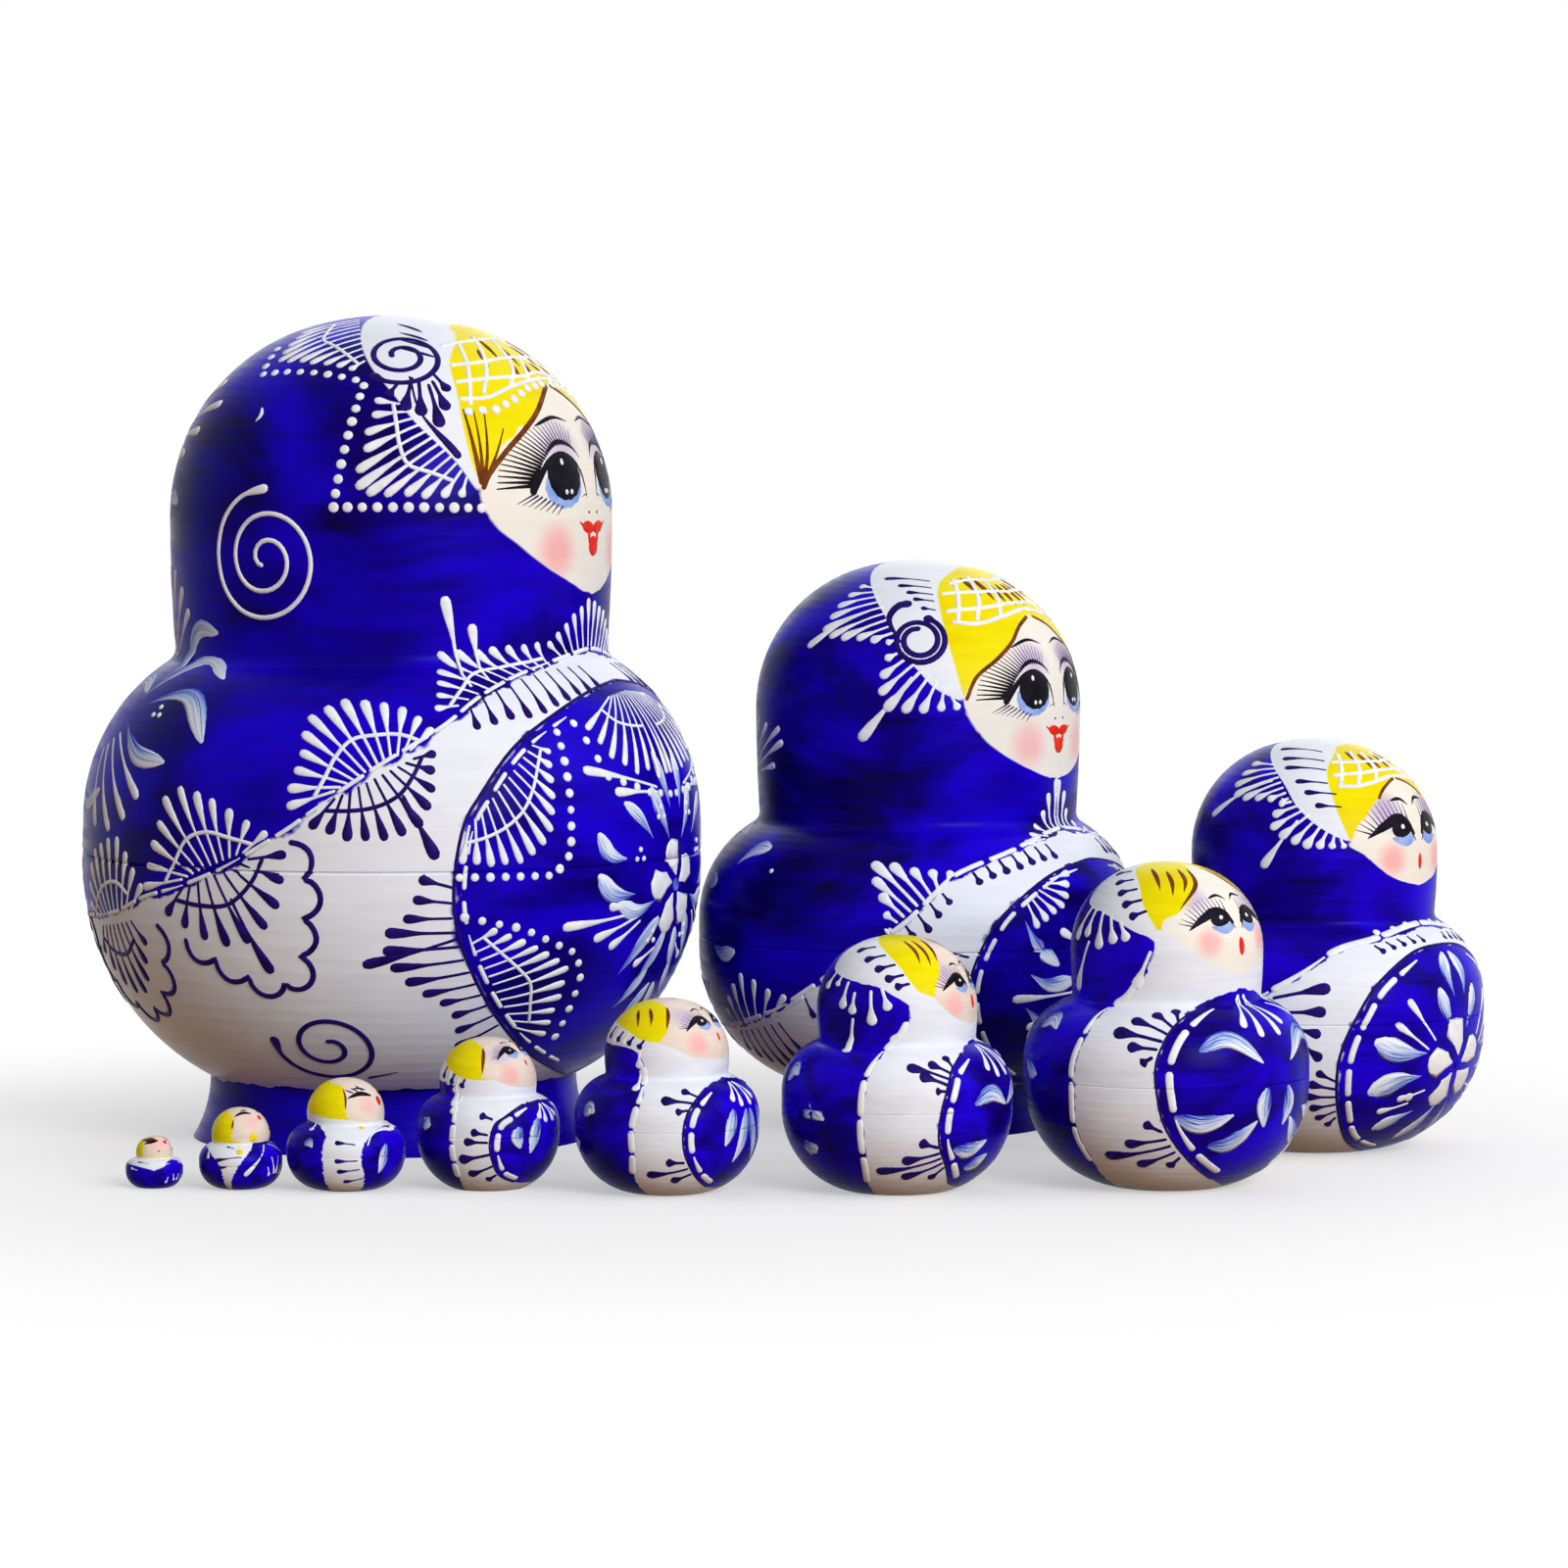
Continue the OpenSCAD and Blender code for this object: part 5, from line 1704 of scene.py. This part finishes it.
DOLLS: tuple[Doll, ...] = (
    FirstDoll(1, 68.0, 6.0, 0.24, 150.0, 8.0, scale=1.0, mouth=111.0),
    SecondDoll(2, 58.0, 4.5, 0.2, patch=2.0, scale=0.81, mouth=702),
    ThirdDoll(3, 53.0, 3.2, 0.18, patch=12.0, scale=0.95, mouth=714),
    SisterDoll(
        4, 47.0, 2.4, 0.16, patch=8.0,
        scale=0.8, mouth=(757, 0.75, 1.7), stroke=1.35, cheek=(24, 775, 3.6), skin=Coat.CREAM,
        shawl=(
            (92, 0), (89, 98), (91, 189), (90, 300), (90, 393), (87, 497), (85, 559), (80, 588), (73, 612), (64, 675),
            (57, 765), (60, 785), (71, 806), (83, 832), (98, 856), (122, 880), (134, 930), (150, 1000),
        ),
        apron=(
            (0, 12), (22, 48), (42, 132), (51, 224), (54, 311), (55, 405), (52, 479), (45, 541), (24, 597), (0, 628),
        ),
        hair=((57, 815), (60, 835), (67, 881), (78, 945), (112, 985)),
        face=(
            (0, 668), (5, 672), (11, 680), (25, 712), (37, 752), (48, 797), (54, 824), (43, 864), (33, 899), (22, 942),
            (17, 968), (10, 990), (0, 995),
        ),
        fans=(
            (((-45, 538), (-56, 440)), ((-46, 575), (-58, 565), (-75, 520), (-68, 472), (-61, 418)), 6),
            (((-52, 210), (-44, 130)), ((-60, 238), (-66, 180), (-80, 130), (-65, 98), (-50, 95)), 5),
        ),
        cap=(
            ((-112, 870), (-120, 765)), ((-106, 866), (-108, 778)), ((-98, 860), (-95, 745)), ((-90, 850), (-84, 765)),
            ((-82, 836), (-75, 776)), ((-104, 770), (-119, 610)), ((-60, 750), (-70, 630)),
        ),
        petals=(
            ((-38, 455), (-24, 490), (-8, 410)), ((-48, 262), (-36, 232), (-22, 262)),
            ((-33, 165), (-22, 170), (-10, 240)), ((-6, 340), (-8, 280), (-6, 210)),
            ((-126, 400), (-121, 370), (-114, 360)), ((-122, 500), (-114, 530), (-106, 500)),
            ((-150, 450), (-143, 480), (-136, 450)),
        ),
        crown=(
            ((-64, 868), (-76, 846)), ((-69, 900), (-84, 880)), ((-76, 930), (-93, 912)), ((-86, 955), (-105, 940)),
            ((-104, 975), (-126, 962)),
        ),
        strands=(
            ((-17, 985), (-24, 940), (-42, 870)), ((-34, 985), (-32, 955), (-37, 920)),
            ((-52, 980), (-46, 950), (-46, 910)), ((-78, 985), (-62, 962), (-56, 925)),
        ),
    ),
    SisterDoll(
        5, 69.0, 2.0, 0.15, patch=12.0,
        scale=0.6, mouth=(750, 0.6, 1.3), stroke=1.25, cheek=(24, 745, 3.2),
        shawl=(
            (92, 0), (89, 60), (87, 141), (87, 293), (86, 438), (84, 508), (80, 561), (76, 588), (70, 615), (65, 651),
            (61, 694), (61, 742), (66, 770), (72, 788), (84, 820), (98, 832), (125, 858), (140, 885), (155, 1000),
        ),
        apron=(
            (0, 20), (30, 50), (42, 138), (48, 218), (49, 293), (47, 379), (43, 463), (39, 510), (25, 565), (0, 602),
        ),
        hair=((44, 784), (54, 806), (59, 837), (66, 886), (80, 940), (106, 980)),
        face=(
            (0, 663), (5, 666), (9, 671), (21, 691), (32, 725), (40, 764), (42, 785), (37, 834), (30, 881), (26, 921),
            (21, 960), (10, 988), (0, 993),
        ),
        fans=(
            (((-38, 510), (-45, 430)), ((-41, 560), (-50, 540), (-68, 520), (-57, 488), (-51, 432)), 5),
            (((-48, 210), (-42, 130)), ((-59, 234), (-64, 175), (-82, 112), (-61, 87), (-50, 78)), 5),
        ),
        cap=(
            ((-130, 865), (-136, 800)), ((-120, 855), (-123, 815)), ((-111, 838), (-113, 730)),
            ((-103, 800), (-104, 712)), ((-90, 810), (-88, 672)), ((-82, 820), (-76, 732)), ((-103, 700), (-106, 568)),
            ((-62, 690), (-74, 602)),
        ),
        petals=(
            ((-29, 370), (-15, 408), (0, 352)), ((-40, 205), (-29, 190), (-17, 228)),
            ((-28, 120), (-20, 130), (-12, 170)), ((-144, 440), (-138, 490), (-131, 470)),
            ((-124, 320), (-117, 345), (-108, 310)), ((-128, 200), (-122, 190), (-115, 205)),
        ),
        crown=(
            ((-60, 835), (-72, 820)), ((-64, 868), (-80, 848)), ((-71, 905), (-90, 882)), ((-82, 938), (-104, 915)),
            ((-100, 965), (-124, 945)),
        ),
        strands=(
            ((-12, 987), (-22, 955), (-28, 910)), ((-40, 985), (-36, 945), (-38, 895)),
            ((-58, 985), (-48, 950), (-48, 905)),
        ),
    ),
    SisterDoll(
        6, 63.0, 1.8, 0.13,
        scale=0.52, mouth=(815, 0.34, 0.8), stroke=1.1, cheek=(30, 790, 2.9), hair_border=Border.WITHIN,
        shawl=(
            (86, 0), (86, 131), (83, 235), (83, 358), (81, 455), (79, 536), (81, 609), (83, 682), (90, 745), (104, 770),
            (150, 778), (180, 785),
        ),
        apron=((0, 35), (24, 54), (40, 117), (49, 212), (52, 300), (51, 409), (46, 490), (30, 575), (0, 607)),
        hair=((74, 800), (88, 812), (103, 844), (150, 889), (180, 910)),
        face=(
            (0, 703), (7, 708), (31, 716), (45, 743), (58, 780), (68, 805), (64, 840), (60, 884), (58, 939), (69, 975),
            (140, 994), (180, 1000),
        ),
        fans=(
            (((-40, 530), (-48, 470)), ((-52, 566), (-69, 510), (-57, 460)), 3),
            (((-50, 200), (-44, 140)), ((-63, 203), (-78, 132), (-59, 98)), 3),
        ),
        cap=(
            ((-88, 760), (-88, 665)), ((-87, 660), (-86, 560)), ((-104, 840), (-110, 780)), ((-120, 855), (-126, 780)),
            ((-140, 870), (-146, 790)),
        ),
        crown=(
            ((-84, 812), (-90, 766)), ((-96, 828), (-102, 780)), ((-112, 848), (-118, 792)), ((-130, 866), (-136, 800)),
        ),
        petals=(
            ((-15, 465), (-18, 370), (-23, 270)), ((-2, 460), (-6, 320), (-13, 180)),
            ((-126, 420), (-120, 460), (-113, 440)), ((-150, 300), (-142, 260), (-133, 280)),
        ),
        strands=(
            ((-62, 968), (-60, 930), (-62, 860)), ((-92, 960), (-82, 920), (-80, 880)),
            ((-112, 950), (-100, 910), (-95, 870)),
        ),
    ),
    SisterDoll(
        7, 63.0, 1.5, 0.12,
        scale=0.46, mouth=(842, 0.3, 0.55), stroke=1.05, cheek=(32, 775, 2.6), hair_border=Border.WITHIN,
        shawl=(
            (95, 0), (90, 100), (89, 174), (89, 335), (88, 506), (96, 600), (100, 660), (104, 700), (140, 720),
            (180, 730),
        ),
        apron=((0, 50), (31, 68), (50, 127), (57, 229), (59, 342), (55, 466), (45, 520), (23, 587), (0, 600)),
        hair=((72, 745), (93, 757), (125, 821), (144, 858), (180, 900)),
        face=(
            (0, 683), (8, 685), (18, 690), (38, 712), (52, 746), (68, 765), (65, 852), (69, 938), (122, 985),
            (180, 1000),
        ),
        fans=(
            (((-56, 500), (-60, 400)), ((-68, 530), (-75, 420)), 2),
            (((-60, 350), (-52, 130)), ((-81, 355), (-86, 220), (-80, 126), (-62, 90)), 4),
        ),
        cap=(
            ((-98, 745), (-104, 650)), ((-112, 800), (-116, 700)), ((-94, 640), (-92, 530)), ((-132, 840), (-138, 750)),
        ),
        crown=(((-88, 752), (-94, 690)), ((-104, 782), (-110, 710)), ((-122, 820), (-127, 740))),
        petals=(
            ((-33, 450), (-36, 380), (-33, 300)), ((-14, 500), (-18, 420), (-24, 260)),
            ((-126, 420), (-120, 460), (-113, 440)),
        ),
        strands=(((-70, 945), (-67, 900), (-67, 780)),),
    ),
    BabyDoll(
        8, 70.0, 1.4, 0.11,
        shawl=((89, 0), (89, 210), (89, 378), (88, 520), (103, 590), (130, 625), (180, 640)),
        apron=((44, 0), (44, 43), (47, 169), (51, 323), (46, 466), (27, 559), (0, 585)),
        hair=((60, 655), (88, 668), (110, 684), (157, 720), (180, 740)),
        face=((34, 630), (58, 655), (66, 720), (66, 850), (72, 936), (116, 965), (180, 1000)),
        strokes=(
            (Ink.INDIGO, ((-56, 452), (-77, 472)), 0.95), (Ink.INDIGO, ((-54, 310), (-77, 308)), 0.95),
            (Ink.INDIGO, ((-52, 232), (-75, 213)), 0.95), (Ink.INDIGO, ((-47, 150), (-69, 115)), 0.95),
            (Ink.BLACK, ((-14, 855), (-38, 880), (-64, 840)), 1.0),
            (Ink.BLACK, ((-20, 905), (-40, 925), (-54, 915)), 0.5), (Ink.PLUM, ((-30, 900), (-42, 950)), 0.4),
            (Ink.PLUM, ((-40, 895), (-56, 930)), 0.4), (Ink.PLUM, ((-50, 885), (-68, 915)), 0.4),
            (Ink.BROWN, ((-66, 750), (-66, 850), (-72, 930)), 0.45),
            (Ink.WHITE, ((-44, 440), (-36, 530), (-14, 565), (0, 550)), 1.1),
            (Ink.SKY, ((-22, 450), (-26, 340), (-31, 180)), 2.0),
            (Ink.SKY, ((-112, 440), (-106, 470), (-100, 420)), 1.6), (Ink.WHITE, ((-118, 620), (-112, 560)), 1.3),
        ),
        dabs=((Ink.YELLOW, (-44, 585), 0.55),),
        lips=(806, 0.75, 0.95),
    ),
    BabyDoll(
        9, 62.0, 1.2, 0.1,
        shawl=((84, 0), (83, 200), (106, 469), (150, 546), (180, 560)),
        apron=((75, 0), (73, 65), (64, 259), (42, 504), (12, 660), (0, 675)),
        hair=((66, 590), (95, 592), (133, 600), (152, 740), (180, 800)),
        face=((52, 600), (76, 660), (72, 750), (76, 893), (121, 962), (180, 1000)),
        strokes=(
            (Ink.INDIGO, ((-55, 436), (-95, 385)), 0.75), (Ink.INDIGO, ((-60, 330), (-90, 300)), 0.6),
            (Ink.INDIGO, ((-66, 530), (-82, 550)), 0.6), (Ink.BLACK, ((-18, 935), (-48, 950), (-76, 900)), 0.8),
            (Ink.BLACK, ((-26, 975), (-60, 968)), 0.45), (Ink.BROWN, ((-74, 760), (-74, 880)), 0.4),
            (Ink.WHITE, ((-6, 560), (-28, 420), (-52, 200)), 0.95), (Ink.WHITE, ((-16, 300), (-12, 180)), 0.8),
            (Ink.WHITE, ((8, 420), (2, 200)), 0.7), (Ink.WHITE, ((-116, 530), (-108, 400)), 0.9),
        ),
        dabs=((Ink.YELLOW, (-30, 660), 0.75), (Ink.YELLOW, (-58, 500), 0.6)),
        lips=(886, 0.5, 0.55),
    ),
    BabyDoll(
        10, 55.0, 1.2, 0.09,
        foot=((180, 0), (180, 338.4), (0, 360)),
        shawl=((46, 0), (48, 360), (73, 436), (120, 480), (180, 490)),
        apron=((60, 0), (52, 360), (30, 450), (16, 537), (0, 565)),
        hair=((80, 600), (100, 610), (139, 680), (160, 760), (180, 800)),
        face=((90, 620), (88, 750), (94, 880), (130, 960), (180, 1000)),
        strokes=(
            (Ink.BLACK, ((-28, 925), (-60, 915), (-92, 850)), 0.9),
            (Ink.BROWN, ((-40, 955), (-80, 945), (-120, 900)), 1.0), (Ink.WHITE, ((-14, 500), (-40, 460)), 0.5),
            (Ink.WHITE, ((-84, 380), (-104, 410)), 0.5), (Ink.WHITE, ((-20, 250), (-24, 120)), 0.6),
            (Ink.WHITE, ((8, 300), (4, 160)), 0.6), (Ink.INDIGO, ((-60, 500), (-90, 530)), 0.4),
        ),
        dabs=((Ink.BROWN, (-34, 735), 0.16),),
        lips=(890, 0.42, 0.42),
    ),
)


@dataclass
class Studio:
    """Pale floor, white surround, soft lamps and the camera.

    Attributes:
        floor_size: Side of the floor in metres.
        image: Side of the picture in pixels.
        focal: Focal length in pixels.
        eye: Place of the camera in metres.
        pitch: Tilt of the camera below the horizon, in degrees.
        middle: Middle of the set on the floor, in metres.
        fade: Distances from there over which the floor turns into the white surround, in metres.
        veil: Share of the white surround on the floor under the set.
        aim: Point that the lamps look at, in metres.
        glow: Share of the surround's white that lights the dolls.
    """

    floor_size: float = 40.0
    image: float = 1600.0
    focal: float = 6000.0
    eye: Triple = (0.0717, -1.0754, 0.132)
    pitch: float = 3.6
    middle: Triple = (0.06, -0.03, 0.0)
    fade: tuple[float, float] = (0.1, 0.24)
    veil: float = 0.45
    aim: Triple = (0.05, -0.03, 0.06)
    glow: float = 0.36

    BOUNCE, WHITE = "94662f", (1.0, 1.0, 1.0, 1.0)
    FLOOR_SHEEN = 0.1
    SENSOR = 36.0
    LAMPS = (
        ("back", (0.1, 1.9, 1.3), 2.0, 12.0),
        ("key", (1.2, -1.8, 0.98), 1.1, 40.0),
        ("side", (1.7, -0.45, 1.25), 0.9, 5.0),
    )

    def build(self) -> None:
        """Set up everything round the dolls."""
        self.build_floor()
        self.build_world()
        for lamp in self.LAMPS:
            self.build_lamp(*lamp)
        self.build_camera()

    @staticmethod
    def direct(tree: bpy.types.NodeTree) -> Socket:
        """Number above 0 where a surface is seen directly, in a gloss or through glass.

        Args:
            tree: Nodes of the material or surround that asks.

        Returns:
            The number's socket.
        """
        path = tree.nodes.new("ShaderNodeLightPath")
        total = path.outputs["Is Camera Ray"]
        for name in ("Is Glossy Ray", "Is Transmission Ray"):
            added = tree.nodes.new("ShaderNodeMath")
            added.operation = "MAXIMUM"
            tree.links.new(total, added.inputs[0])
            tree.links.new(path.outputs[name], added.inputs[1])
            total = added.outputs[0]
        return total

    def build_floor(self) -> None:
        """Lay a white floor whose bounce is that of a warm table top."""
        recipe = Recipe("pale_floor")
        place = recipe.node("TexCoord", {}).outputs["Object"]
        speck = recipe.noise(place, 60.0)
        direct = self.direct(recipe.tree)
        colour = recipe.blend(direct, linear(self.BOUNCE), self.WHITE)
        paint = recipe.finish(colour, recipe.spread(speck, 0.8, 0.9), speck, 0.02 * MM)
        recipe.shader.inputs["Specular IOR Level"].default_value = self.FLOOR_SHEEN
        away = recipe.measure("DISTANCE", place, self.middle)
        far = recipe.math("MULTIPLY", direct, recipe.step(away, *self.fade, self.veil))
        white = recipe.node("Emission", {"Color": self.WHITE, "Strength": 1.0})
        both = recipe.node("MixShader", {0: far, 1: recipe.shader.outputs[0], 2: white.outputs[0]})
        recipe.put(recipe.tree.nodes["Material Output"].inputs["Surface"], both.outputs[0])
        mesh = bpy.data.meshes.new("floor")
        half = self.floor_size / 2
        mesh.from_pydata([(-half, -half, 0), (half, -half, 0), (half, half, 0), (-half, half, 0)], [], [(0, 1, 2, 3)])
        mesh.materials.append(paint)
        floor = bpy.data.objects.new("floor", mesh)
        bpy.context.collection.objects.link(floor)

    def build_world(self) -> None:
        """Hang a white surround that lights the dolls a little less than it shows."""
        world = bpy.data.worlds.new("surround")
        world.use_nodes = True
        bpy.context.scene.world = world
        tree = world.node_tree
        shade = tree.nodes["Background"]
        shade.inputs["Color"].default_value = self.WHITE
        level = tree.nodes.new("ShaderNodeMapRange")
        tree.links.new(self.direct(tree), level.inputs[0])
        level.inputs[3].default_value, level.inputs[4].default_value = self.glow, 1.0
        tree.links.new(level.outputs[0], shade.inputs["Strength"])

    def build_lamp(self, name: str, place: Triple, size: float, power: float) -> None:
        """Hang a soft lamp that looks at the dolls.

        Args:
            name: Name of the lamp.
            place: Its place in metres.
            size: Its width and height in metres.
            power: Its power in watts.
        """
        data = bpy.data.lights.new(name, "AREA")
        data.shape, data.size, data.size_y, data.energy = "RECTANGLE", size, size, power
        lamp = bpy.data.objects.new(name, data)
        bpy.context.collection.objects.link(lamp)
        lamp.location = place
        lamp.rotation_euler = (Vector(self.aim) - Vector(place)).to_track_quat("-Z", "Y").to_euler()
        lamp.visible_camera = False

    def build_camera(self) -> None:
        """Put the camera where the photograph was taken from."""
        data = bpy.data.cameras.new("camera")
        data.sensor_width = self.SENSOR
        data.lens = self.focal / self.image * data.sensor_width
        camera = bpy.data.objects.new("camera", data)
        bpy.context.collection.objects.link(camera)
        camera.location = self.eye
        camera.rotation_euler = (math.radians(90 - self.pitch), 0.0, 0.0)
        bpy.context.scene.camera = camera


def main() -> None:
    """Paint the dolls and set up the studio."""
    logging.basicConfig(level=logging.INFO, format="%(message)s")
    bpy.context.scene.view_settings.view_transform = "Standard"
    inks = {ink: ink.value.material("ink_" + ink.name.lower()) for ink in Ink}
    for doll in DOLLS:
        doll.build(inks)
    Studio().build()


if __name__ == "__main__":
    main()
